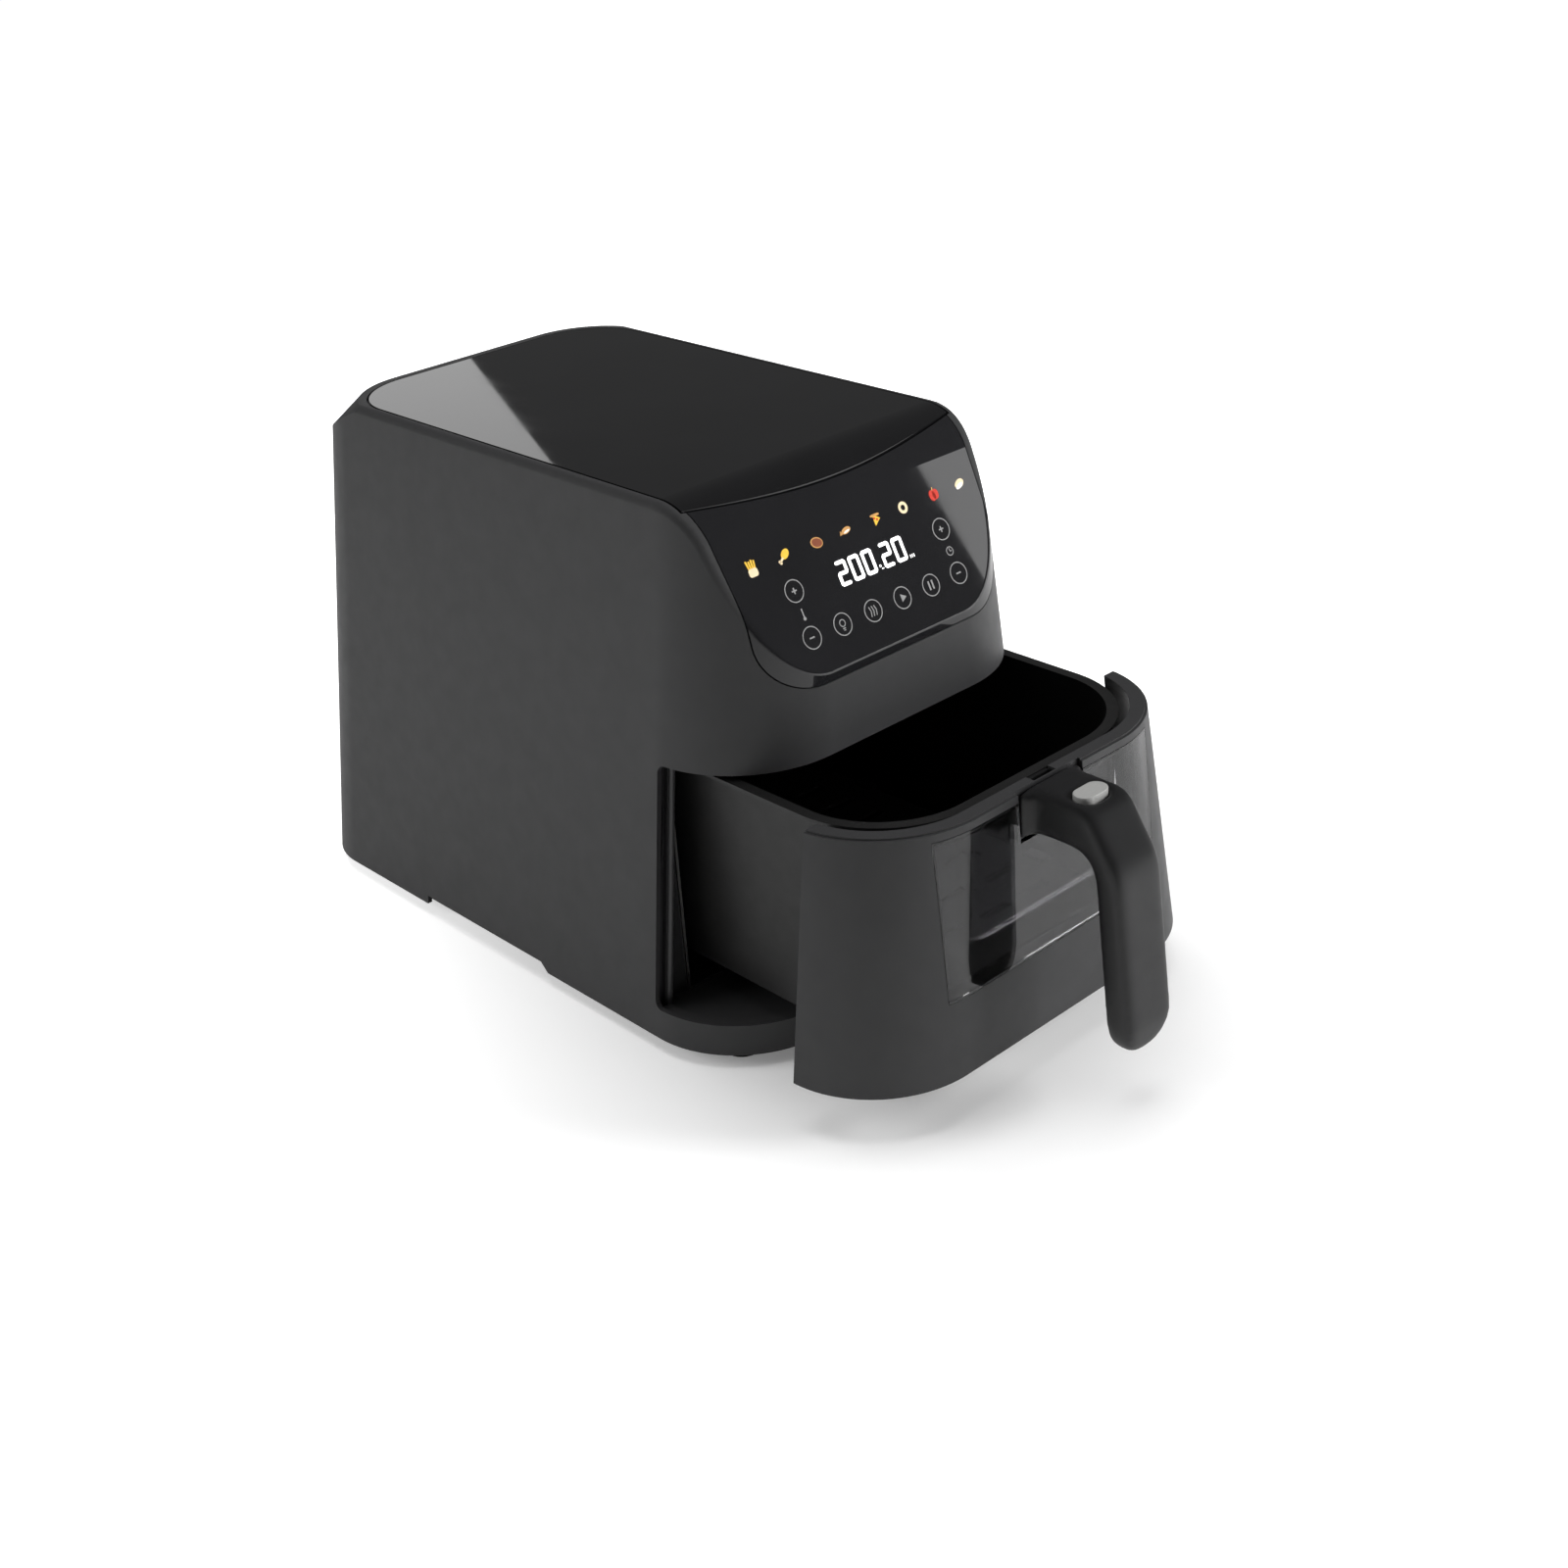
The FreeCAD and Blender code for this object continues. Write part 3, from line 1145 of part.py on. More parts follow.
def handle():
    """Arm from the drawer's top edge and the grip that hangs from it."""
    thick = d.grip_thick
    profile = prism("handle_profile", "YZ", [
        (opened(HANDLE_ROOT), above(d.arm_floor)), (opened(HANDLE_ROOT), above(d.arm_top)),
        (opened(REACH - 30), above(d.arm_top)), (opened(REACH - 9), above(128)),
        (opened(REACH), above(40)), (opened(REACH - 3), above(d.grip_end)),
        (opened(REACH - thick), above(d.grip_end)), (opened(REACH - thick - 9), above(122)),
        (opened(REACH - thick - 13), above(d.arm_floor)),
    ], -40, 40, {2: 14, 3: 34, 5: 6.5, 6: 6, 7: 6, 8: 14})
    half = d.arm_half_width
    face = prism("handle_face", "XZ", [
        (-half, above(d.grip_end)), (half, above(d.grip_end)),
        (half, above(d.arm_top + 5)), (-half, above(d.arm_top + 5)),
    ], opened(REACH + 5), opened(HANDLE_ROOT - 5), {0: half - 0.6, 1: half - 0.6})
    blank = common("handle_blank", profile, face)
    mount = box("handle_mount", (-(d.mount_half_width - 0.4), d.mount_half_width - 0.4),
                (opened(d.drawer_front_high + 2), opened(HANDLE_ROOT)),
                (above(d.mount_floor + 0.4), above(d.drawer_top)))
    well = button_column("button_well", 0.35, d.arm_top - d.well_depth, d.arm_top + 5)
    channel_half = d.bar_half_width + 0.6
    channel = box("latch_channel", (-channel_half, channel_half),
                  (opened(d.button_reach + 12.5), opened(HANDLE_ROOT - 10)),
                  (above(d.channel_floor), above(d.arm_top - d.well_depth)))
    part(cut("handle_piece", fuse("handle_solid", blank, mount), well, channel), "handle")


LEG_REAR, LEG_THICK, LEG_GAP = d.button_reach + 1, 3.2, 0.6


def release_button():
    """Oval cap with a wedge leg that drives the latch bar."""
    cap = button_column("button_cap", 0, d.arm_top - d.button_depth, d.arm_top + 0.8)
    tip = d.bar_floor
    leg = prism("button_leg", "YZ", [
        (opened(LEG_REAR), above(tip)), (opened(LEG_REAR + LEG_THICK), above(tip + LEG_THICK)),
        (opened(LEG_REAR + LEG_THICK), above(d.arm_top - d.button_depth + 1)),
        (opened(LEG_REAR), above(d.arm_top - d.button_depth + 1)),
    ], -3, 3)
    part(fuse("button_piece", cap, leg), "release_button")


def latch_slide():
    """Bar drawn forward by the button's wedge; its tip stands up in the drawer's top strip."""
    low, high, half = d.bar_floor, d.bar_floor + d.bar_thick, d.bar_half_width
    tip_rear = d.drawer_front_high - d.strip_width - 0.3
    bar = box("latch_bar", (-half, half), (opened(d.button_reach + 8.4), opened(tip_rear)),
              (above(low), above(high)))
    tip = box("latch_tip", (-half, half), (opened(tip_rear + 2.4), opened(tip_rear)),
              (above(low), above(d.drawer_top)))
    ramp, ramp_end = LEG_REAR + LEG_GAP, LEG_REAR - d.button_travel - 0.6
    slot = prism("latch_ramp", "YZ", [
        (opened(ramp_end), above(low - 1)), (opened(ramp - 1), above(low - 1)),
        (opened(ramp + d.bar_thick + 1), above(high + 1)), (opened(ramp_end), above(high + 1)),
    ], -3.6, 3.6)
    part(cut("latch", fuse("latch_blank", bar, tip), slot), "latch_slide")


def button_spring():
    """Arched steel leaf under the button, its ends on the ledges of the well."""
    low, high, thick = d.arm_top - d.well_depth, d.arm_top - d.button_depth, 0.7
    half, crown = d.button_length / 2 - 0.4, 4
    right_edge = [(crown, above(high - thick)), (half - 1.6, above(low)),
                  (half, above(low)), (crown, above(high))]
    left_edge = [(-x, z) for x, z in reversed(right_edge)]
    leaf = prism("spring_leaf", "XZ", right_edge + left_edge,
                 opened(d.button_reach - 0.4), opened(d.button_reach - 3.4))
    part(leaf, "button_spring")


def build():
    for make in (outer_shell, panels, control_electronics, base_cover, rubber_feet, bay_tray, opening_bezel,
                 cavity_liner, heating_element, fan_chamber, rotor, motor, fan_guard, air_duct, rear_vent,
                 cord_inlet, power_electronics, bay_rails, drawer_cover, smoked_pane, drawer_frame, pan,
                 sight_window, pan_supports, crisper_plate, plate_bumpers, handle, release_button,
                 latch_slide, button_spring):
        make()
    doc.recompute()
    faults = [obj.Name for obj in doc.Objects if "Invalid" in obj.State or "Error" in obj.State]
    if faults:
        raise RuntimeError(f"these did not build: {faults}")
    for obj in PARTS:
        if obj.Shape.isNull() or not obj.Shape.isValid():
            raise RuntimeError(f"{obj.Label} has no valid shape")
    os.makedirs("parts", exist_ok=True)
    for obj in PARTS:
        obj.Shape.exportStep(f"parts/{obj.Label}.step")


build()
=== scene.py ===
"""Looks of a table-top air fryer with a windowed drawer, set on the frame of its CAD parts."""

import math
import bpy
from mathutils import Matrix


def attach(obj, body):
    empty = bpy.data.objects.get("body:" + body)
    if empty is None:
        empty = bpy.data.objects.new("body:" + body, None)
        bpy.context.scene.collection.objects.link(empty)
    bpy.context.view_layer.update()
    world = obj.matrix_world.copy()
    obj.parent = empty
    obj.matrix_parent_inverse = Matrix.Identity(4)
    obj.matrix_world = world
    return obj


bl_info = {
    "name": "Air Fryer Looks",
    "version": (1, 0, 0),
    "blender": (4, 5, 0),
    "location": "3D View > Sidebar > Air Fryer",
    "description": "Finishes an air fryer's parts, prints its control panel and sets up a studio",
    "category": "Object",
}

import bmesh
import bpy
from bpy.props import FloatProperty, FloatVectorProperty, IntProperty, PointerProperty
from mathutils import Matrix, Vector

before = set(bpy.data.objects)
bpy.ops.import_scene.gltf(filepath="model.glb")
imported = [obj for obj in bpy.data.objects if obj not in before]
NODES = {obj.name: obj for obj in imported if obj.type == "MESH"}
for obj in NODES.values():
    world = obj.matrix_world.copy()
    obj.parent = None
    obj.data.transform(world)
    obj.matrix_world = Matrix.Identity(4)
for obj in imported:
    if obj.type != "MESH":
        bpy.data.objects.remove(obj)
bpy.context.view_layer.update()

# The control slope: its upper line, and the directions across it, up it and out of it.
SLOPE_TOP = Vector((0.0, -0.0768, 0.3084))
SLOPE_UP = Vector((0.0, 0.514, 1.0)).normalized()
SLOPE_OUT = Vector((1.0, 0.0, 0.0)).cross(SLOPE_UP)
MM = 0.001

# The housing stands this far above the floor, on its feet.
FOOT_HEIGHT = 0.008

# Lower and upper end of the bead beside the drawer opening.
BEAD_FOOT = (0.1302, -0.0605, 0.0235)
BEAD_HEAD = (0.1117, -0.0605, 0.1675)
BEAD_RADIUS = 0.0019

# Middle and half size of the way of the latch bar inside the handle.
LATCH_WAY = (0.0, -0.245, 0.1525)
LATCH_ROOM = (0.0090, 0.0215, 0.0058)

# Heights of the print lines above the housing's lower edge, in metres.
FOOD_LINE, DIGIT_LINE = 0.2650, 0.2413
KEY_LINES = (0.2257, 0.2485)

# Places of the prints across the slope, in millimetres from the middle.
DIGITS = (("2", -24.2), ("0", -14.6), ("0", -5.0), ("2", 8.2), ("0", 17.8))
LOWER_KEYS = (-55.5, -33.3, -10.7, 11.5, 33.7, 55.6)
UPPER_KEYS = (-55.2, 55.2)
FOODS = {
    "chips": -75.2, "drumstick": -52.9, "steak": -29.6, "fish": -8.7,
    "slice": 14.1, "hoop": 35.0, "fruit": 59.2, "bun": 79.9,
}

# Places of the screws, in millimetres. Those of the vent are set on its outer face.
BASE_SCREWS = [(x, y, 9.0) for x in (-105.0, 0.0, 105.0) for y in (-70.0, 215.0)]
VENT_SCREWS = [(x, 0.0, z) for x in (-57.5, 57.5) for z in (163.0, 225.0)]

# Place, aim and size of each soft box.
SOFT_BOXES = {
    "side": ((-2.0, 1.4, 1.2), (0.0, 0.1, 0.15), (1.6, 1.4)),
    "top": ((0.3, 0.5, 2.4), (0.0, 0.0, 0.1), (2.2, 2.2)),
    "fill": ((1.9, -1.8, 0.9), (0.0, -0.1, 0.15), (1.4, 1.2)),
}

# Corners of the cards that show as light patches: one behind the fryer, one at its front right.
CARDS = {
    "top_card": (
        (0.867, 1.565, 0.721), (0.777, 1.227, 0.827), (0.504, 1.371, 0.837), (0.736, 1.770, 0.695)),
    "glass_card": (
        (0.798, -0.792, 0.687), (0.830, -0.869, 0.512), (0.924, -0.870, 0.441), (0.960, -0.745, 0.668)),
}

# The floor's glow: the point it is weakest at, and its growth with the distance from there.
GLOW_CENTRE = (0.05, -0.28, 0.0)
GLOW_RANGE = {"From Min": 0.15, "From Max": 0.75, "To Min": 0.05, "To Max": 0.9}


def colour(name, about, value):
    return FloatVectorProperty(
        name=name, description=about, subtype="COLOR", size=3, min=0.0, max=1.0, default=value)


def length(name, about, value):
    return FloatProperty(
        name=name, description=about, subtype="DISTANCE", unit="LENGTH", min=0.0, default=value)


def angle(name, about, degrees):
    return FloatProperty(name=name, description=about, subtype="ANGLE", default=math.radians(degrees))


def power(name, about, watts):
    return FloatProperty(name=name, description=about, unit="POWER", min=0.0, default=watts)


def amount(name, about, value):
    return FloatProperty(name=name, description=about, min=0.0, default=value)


class HousingLook(bpy.types.PropertyGroup):
    """Colours and edges of the moulded housing."""

    shell: colour("Shell", "Moulded plastic of the housing", (0.034, 0.034, 0.035))
    # Painted shade: the parts behind the drawer opening, the base cover and the rear vent take a darker copy
    # of the shell's colour, about half as bright.
    shadow_parts: colour("Inner parts", "Plastic behind the drawer opening", (0.017, 0.017, 0.018))
    top: colour("Top panel", "Gloss sheet on the top", (0.006, 0.006, 0.0065))
    glass: colour("Control glass", "Sheet over the display", (0.010, 0.010, 0.011))
    tray: colour("Tray", "Tray behind the sill", (0.034, 0.034, 0.035))
    rubber: colour("Rubber", "Feet and cord inlet", (0.012, 0.012, 0.012))
    edge: length("Edge rounding", "Rounding of the moulded edges", 0.0008)


class DrawerLook(bpy.types.PropertyGroup):
    """Colours of the drawer, its pan and its handle."""

    front: colour("Drawer front", "Moulded plastic of the drawer", (0.029, 0.029, 0.030))
    pane: colour("Smoked pane", "Tint of the window pane", (0.42, 0.42, 0.43))
    sight: colour("Pan window", "Tint of the glass in the pan", (0.85, 0.86, 0.86))
    pan: colour("Pan coating", "Non-stick coating", (0.009, 0.009, 0.009))
    plate: colour("Plate coating", "Coating of the crisper plate", (0.050, 0.050, 0.050))
    handle: colour("Handle", "Satin plastic of the handle", (0.009, 0.009, 0.0095))
    button: colour("Release button", "Metal face of the button", (0.42, 0.42, 0.41))
    edge: length("Edge rounding", "Rounding of the drawer's edges", 0.0009)
    grain: length("Handle grain", "Size of the cells that the handle is smoothed in", 0.0010)
    softness: IntProperty(
        name="Handle softness", description="Smoothing passes over the handle", min=0, default=50)


class MetalLook(bpy.types.PropertyGroup):
    """Colours of the sheet metal and the circuit boards inside."""

    sheet: colour("Sheet steel", "Liner, fan chamber and duct", (0.36, 0.36, 0.35))
    element: colour("Element", "Sheath of the heating element", (0.16, 0.14, 0.13))
    bright: colour("Bright steel", "Brackets, rails and screws", (0.55, 0.55, 0.54))
    fan: colour("Fan", "Pressed fan", (0.52, 0.52, 0.52))
    board: colour("Circuit board", "Lacquered board", (0.012, 0.075, 0.030))


class PrintLook(bpy.types.PropertyGroup):
    """Marks on the control glass."""

    ink: colour("Key ink", "Printed rings and signs", (0.27, 0.27, 0.27))
    lit: colour("Digits", "Lit digits", (1.0, 1.0, 1.0))
    thick: length("Print thickness", "How far the prints stand on the glass", 0.00005)
    ring: length("Key ring", "Radius of the printed key rings", 0.0062)
    line: length("Ring line", "Width of the printed lines", 0.00055)
    digit_height: length("Digit height", "Height of a lit digit", 0.0138)
    digit_width: length("Digit width", "Width of a lit digit", 0.0078)
    stroke: length("Digit stroke", "Width of a digit's bars", 0.0020)
    yellow: colour("Yellow", "Yellow of the food marks", (0.86, 0.52, 0.06))
    cream: colour("Cream", "Cream of the food marks", (0.84, 0.68, 0.44))
    tan: colour("Tan", "Tan of the food marks", (0.56, 0.30, 0.10))
    brown: colour("Brown", "Brown of the food marks", (0.21, 0.060, 0.030))
    red: colour("Red", "Red of the food marks", (0.55, 0.045, 0.030))
    white: colour("White", "White of the food marks", (0.82, 0.80, 0.76))


class StageLook(bpy.types.PropertyGroup):
    """Camera, lights and floor."""

    camera_at: FloatVectorProperty(
        name="Camera", description="Place of the camera", subtype="TRANSLATION", unit="LENGTH", size=3,
        default=(-0.7314, -0.8504, 0.6691))
    yaw: angle("Yaw", "Turn to the right", 41.45)
    pitch: angle("Pitch", "Look down", 27.45)
    roll: angle("Roll", "Tilt of the horizon", -4.17)
    lens: FloatProperty(name="Lens", description="Focal length", unit="CAMERA", default=48.56)
    side_light: power("Side light", "Soft box on the left", 33.0)
    top_light: power("Top light", "Soft box overhead", 43.0)
    fill_light: power("Fill light", "Soft box at the front right", 114.0)
    top_card: amount("Top card", "Patch on the top panel", 1.35)
    glass_card: amount("Glass card", "Patch on the control glass", 3.0)
    ambient: amount("Ambient", "Even light from all round", 0.10)
    mirrored: amount("Mirrored room", "Room as gloss shows it", 0.10)
    floor: colour("Floor", "Pale floor", (0.90, 0.90, 0.90))


# Finishes

class Finish:
    """A material under construction, with its surface shader at hand."""

    def __init__(self, name, base, roughness, metallic=0.0):
        self.material = bpy.data.materials.new(name)
        self.material.use_nodes = True
        self.tree = self.material.node_tree
        self.shader = self.tree.nodes["Principled BSDF"]
        self.set("Base Color", (*base, 1.0))
        self.set("Roughness", roughness)
        self.set("Metallic", metallic)
        self.place = self.tree.nodes.new("ShaderNodeTexCoord").outputs["Object"]

    def set(self, socket, value):
        self.shader.inputs[socket].default_value = value

    def add(self, kind, **values):
        node = self.tree.nodes.new(kind)
        for socket, value in values.items():
            node.inputs[socket.replace("_", " ")].default_value = value
        return node

    def join(self, source, target):
        self.tree.links.new(source, target)

    def noise(self, size, detail=2.0, stretch=None):
        """Noise whose cells are about size metres across, drawn out along an axis by stretch."""
        node = self.add("ShaderNodeTexNoise", Scale=1.0 / size, Detail=detail, Roughness=0.55)
        if stretch is None:
            self.join(self.place, node.inputs["Vector"])
        else:
            mapping = self.add("ShaderNodeMapping", Scale=stretch)
            self.join(self.place, mapping.inputs["Vector"])
            self.join(mapping.outputs["Vector"], node.inputs["Vector"])
        return node.outputs["Fac"]

    def tint(self, pattern, low, high, start=0.3, end=0.7):
        """Base colour running from low to high over the pattern."""
        ramp = self.add("ShaderNodeValToRGB")
        ramp.color_ramp.elements[0].position = start
        ramp.color_ramp.elements[0].color = (*low, 1.0)
        ramp.color_ramp.elements[1].position = end
        ramp.color_ramp.elements[1].color = (*high, 1.0)
        self.join(pattern, ramp.inputs["Fac"])
        self.join(ramp.outputs["Color"], self.shader.inputs["Base Color"])

    def sheen_range(self, pattern, low, high):
        """Roughness running from low to high over the pattern."""
        spread = self.add("ShaderNodeMapRange", From_Min=0.3, From_Max=0.7, To_Min=low, To_Max=high)
        self.join(pattern, spread.inputs["Value"])
        self.join(spread.outputs["Result"], self.shader.inputs["Roughness"])

    def relief(self, pattern, height, strength=1.0):
        """Surface relief of the pattern, height metres deep."""
        bump = self.add("ShaderNodeBump", Strength=strength, Distance=height)
        self.join(pattern, bump.inputs["Height"])
        self.join(bump.outputs["Normal"], self.shader.inputs["Normal"])


def shade(base, factor):
    return tuple(min(1.0, channel * factor) for channel in base)


def moulded_plastic(name, base, roughness=0.52):
    """Spark-textured moulding with a faintly uneven sheen."""
    finish = Finish(name, base, roughness)
    finish.set("Specular IOR Level", 0.42)
    cloud = finish.noise(0.045, 3.0)
    finish.tint(cloud, shade(base, 0.98), shade(base, 1.02))
    finish.sheen_range(finish.noise(0.012, 2.0), roughness - 0.03, roughness + 0.03)
    finish.relief(finish.noise(0.0007, 3.0), 0.00004, 0.6)
    return finish.material


def gloss_sheet(name, base, roughness=0.03):
    """Smooth gloss sheet with barely visible wipe marks."""
    finish = Finish(name, base, roughness)
    finish.tint(finish.noise(0.06, 3.0), shade(base, 0.9), shade(base, 1.1))
    finish.sheen_range(finish.noise(0.02, 4.0, (1.0, 0.35, 1.0)), roughness - 0.01, roughness + 0.02)
    return finish.material


def clear_sheet(name, tint):
    """See-through sheet, tinted in the mass."""
    finish = Finish(name, tint, 0.0)
    finish.set("Transmission Weight", 1.0)
    finish.set("IOR", 1.46)
    finish.tint(finish.noise(0.05, 2.0), shade(tint, 0.95), tint)
    return finish.material


def coated_metal(name, base):
    """Non-stick coating with fine speckles and a soft orange-peel relief."""
    finish = Finish(name, base, 0.42)
    speckle = finish.noise(0.0011, 2.0)
    finish.tint(speckle, base, shade(base, 1.35), 0.62, 0.78)
    finish.sheen_range(finish.noise(0.01, 3.0), 0.38, 0.46)
    finish.relief(finish.noise(0.0024, 2.0), 0.00002, 0.3)
    return finish.material


def sheet_metal(name, base, roughness=0.32, stretch=(1.0, 30.0, 30.0)):
    """Rolled sheet with fine lines along one direction."""
    finish = Finish(name, base, roughness, 1.0)
    lines = finish.noise(0.004, 3.0, stretch)
    finish.tint(finish.noise(0.03, 4.0), shade(base, 0.86), shade(base, 1.1))
    finish.sheen_range(lines, roughness - 0.08, roughness + 0.1)
    finish.relief(lines, 0.00003, 0.4)
    return finish.material


def painted_metal(name, base):
    """Satin silver lacquer with a fine brushed line."""
    finish = Finish(name, base, 0.36, 0.35)
    lines = finish.noise(0.003, 3.0, (1.0, 14.0, 14.0))
    finish.tint(lines, shade(base, 0.93), shade(base, 1.05))
    finish.sheen_range(lines, 0.3, 0.42)
    return finish.material


def heated_sheath(name, base):
    """Element sheath, browned by heat."""
    finish = Finish(name, base, 0.48, 0.9)
    finish.tint(finish.noise(0.02, 3.0), shade(base, 0.6), (base[0] * 1.3, base[1] * 1.1, base[2]))
    finish.sheen_range(finish.noise(0.006, 2.0), 0.4, 0.6)
    finish.relief(finish.noise(0.0015, 3.0), 0.00004, 0.5)
    return finish.material


def soft_rubber(name, base):
    """Dull rubber with a fine matt grain."""
    finish = Finish(name, base, 0.8)
    finish.set("Specular IOR Level", 0.3)
    finish.tint(finish.noise(0.008, 3.0), shade(base, 0.8), shade(base, 1.3))
    finish.sheen_range(finish.noise(0.003, 2.0), 0.72, 0.88)
    finish.relief(finish.noise(0.0009, 2.0), 0.00005, 0.6)
    return finish.material


def circuit_board(name, base):
    """Lacquered board with paler tracks."""
    finish = Finish(name, base, 0.4)
    tracks = finish.add("ShaderNodeTexBrick", Scale=160.0)
    tracks.inputs["Mortar Size"].default_value = 0.06
    tracks.inputs["Color1"].default_value = (*base, 1.0)
    tracks.inputs["Color2"].default_value = (*shade(base, 0.8), 1.0)
    tracks.inputs["Mortar"].default_value = (*shade(base, 1.9), 1.0)
    finish.join(finish.place, tracks.inputs["Vector"])
    finish.join(tracks.outputs["Color"], finish.shader.inputs["Base Color"])
    finish.sheen_range(finish.noise(0.004, 2.0), 0.35, 0.5)
    return finish.material


def printed_ink(name, base):
    """Screen-printed ink with a slightly patchy cover."""
    finish = Finish(name, base, 0.45)
    finish.tint(finish.noise(0.0012, 2.0), shade(base, 0.85), base)
    return finish.material


def lit_segment(name, base):
    """Lit display segment behind the glass."""
    finish = Finish(name, base, 0.3)
    finish.set("Emission Color", (*base, 1.0))
    finish.set("Emission Strength", 0.9)
    finish.sheen_range(finish.noise(0.002, 2.0), 0.25, 0.4)
    return finish.material


# Dressing the CAD parts

def dress(node, material, edge=0.0, segments=2):
    """Gives a CAD part its finish, and rounds its sharp edges without moving it."""
    part = NODES[node]
    part.data.materials.clear()
    part.data.materials.append(material)
    if edge > 0.0:
        weld = part.modifiers.new("seams", "WELD")
        weld.merge_threshold = 0.000002
        flat = part.modifiers.new("flats", "DECIMATE")
        flat.decimate_type = "DISSOLVE"
        flat.angle_limit = math.radians(0.4)
        bevel = part.modifiers.new("edges", "BEVEL")
        bevel.width = edge
        bevel.segments = segments
        bevel.limit_method = "ANGLE"
        bevel.angle_limit = math.radians(38)
        bevel.harden_normals = False
        smooth = part.modifiers.new("shading", "WEIGHTED_NORMAL")
        smooth.keep_sharp = False
    return part


def outside_blur(passes):
    """Node group that smooths a part everywhere but in the way of its latch bar."""
    group = bpy.data.node_groups.new("outside_blur", "GeometryNodeTree")
    for way in ("INPUT", "OUTPUT"):
        group.interface.new_socket("Geometry", in_out=way, socket_type="NodeSocketGeometry")
    add, join = group.nodes.new, group.links.new
    source, result = add("NodeGroupInput"), add("NodeGroupOutput")
    place = add("GeometryNodeInputPosition").outputs["Position"]
    moved = add("GeometryNodeSetPosition")
    offset = place
    for operation, operand in (("SUBTRACT", LATCH_WAY), ("DIVIDE", LATCH_ROOM), ("ABSOLUTE", None)):
        step = add("ShaderNodeVectorMath")
        step.operation = operation
        join(offset, step.inputs[0])
        if operand:
            step.inputs[1].default_value = operand
        offset = step.outputs["Vector"]
    axes = add("ShaderNodeSeparateXYZ")
    join(offset, axes.inputs["Vector"])
    reach = axes.outputs["X"]
    for axis in "YZ":
        larger = add("ShaderNodeMath")
        larger.operation = "MAXIMUM"
        join(reach, larger.inputs[0])
        join(axes.outputs[axis], larger.inputs[1])
        reach = larger.outputs["Value"]
    outside = add("ShaderNodeMath")
    outside.operation = "GREATER_THAN"
    outside.inputs[1].default_value = 1.0
    join(reach, outside.inputs[0])
    blur = add("GeometryNodeBlurAttribute")
    blur.data_type = "FLOAT_VECTOR"
    blur.inputs["Iterations"].default_value = passes
    join(outside.outputs["Value"], blur.inputs["Weight"])
    join(place, next(socket for socket in blur.inputs if socket.enabled and socket.type == "VECTOR"))
    smoothed = next(socket for socket in blur.outputs if socket.enabled and socket.type == "VECTOR")
    join(smoothed, moved.inputs["Position"])
    join(source.outputs["Geometry"], moved.inputs["Geometry"])
    join(moved.outputs["Geometry"], result.inputs["Geometry"])
    return group


def soften(part, grain, passes):
    """Rounds a moulded part the way a hand grip is rounded, but not the way of its latch bar."""
    cells = part.modifiers.new("cells", "REMESH")
    cells.mode = "VOXEL"
    cells.voxel_size = grain
    cells.use_smooth_shade = True
    smooth = part.modifiers.new("softness", "NODES")
    smooth.node_group = outside_blur(passes)
    fewer = part.modifiers.new("fewer", "DECIMATE")
    fewer.ratio = 0.3


# Flat prints on the control glass

def slope_frame():
    """Matrix that lays the XY plane on the control slope, from its upper line on."""
    turn = Matrix((Vector((1.0, 0.0, 0.0)), SLOPE_UP, SLOPE_OUT)).transposed().to_4x4()
    return Matrix.Translation(SLOPE_TOP) @ turn


def slope_run(height):
    """Distance up the slope, from its upper line, of a height above the housing's lower edge."""
    drop = SLOPE_TOP.z - FOOT_HEIGHT - height
    return -drop / SLOPE_UP.z


def bar(bm, across, up, wide, tall, turn=0.0, snip=0.0):
    """Flat bar; snip cuts its corners."""
    spot = Matrix.Translation((across, up, 0.0)) @ Matrix.Rotation(turn, 4, "Z")
    made = bmesh.ops.create_grid(bm, x_segments=1, y_segments=1, size=0.5,
                                 matrix=spot @ Matrix.Diagonal((wide, tall, 1.0, 1.0)))
    if snip > 0.0:
        bmesh.ops.bevel(bm, geom=made["verts"], offset=snip, affect="VERTICES", segments=1, profile=0.5,
                        material=-1)


def disc(bm, across, up, wide, tall, turn=0.0, corners=28):
    """Flat ellipse, or a regular shape with few corners."""
    spot = Matrix.Translation((across, up, 0.0)) @ Matrix.Rotation(turn, 4, "Z")
    made = bmesh.ops.create_circle(bm, cap_ends=True, segments=corners, radius=0.5,
                                   matrix=spot @ Matrix.Diagonal((wide, tall, 1.0, 1.0)))
    return made["verts"]


def ring(bm, across, up, radius, line, corners=40):
    """Flat ring drawn with a line of even width."""
    verts = disc(bm, across, up, radius * 2, radius * 2, corners=corners)
    faces = verts[0].link_faces[:]
    bmesh.ops.inset_region(bm, faces=faces, thickness=line, use_boundary=True, use_even_offset=True)
    bmesh.ops.delete(bm, geom=faces, context="FACES_ONLY")


def print_on_glass(name, bm, material, thick):
    """Turns flat shapes into thin closed prints on the control slope."""
    bmesh.ops.dissolve_degenerate(bm, dist=1e-7, edges=bm.edges[:])
    raised = bmesh.ops.extrude_face_region(bm, geom=bm.faces[:], use_keep_orig=True)
    verts = [item for item in raised["geom"] if isinstance(item, bmesh.types.BMVert)]
    bmesh.ops.translate(bm, vec=(0.0, 0.0, thick), verts=verts)
    bmesh.ops.recalc_face_normals(bm, faces=bm.faces[:])
    bmesh.ops.transform(bm, matrix=slope_frame(), verts=bm.verts[:])
    finish_piece(name, bm, material, "housing")


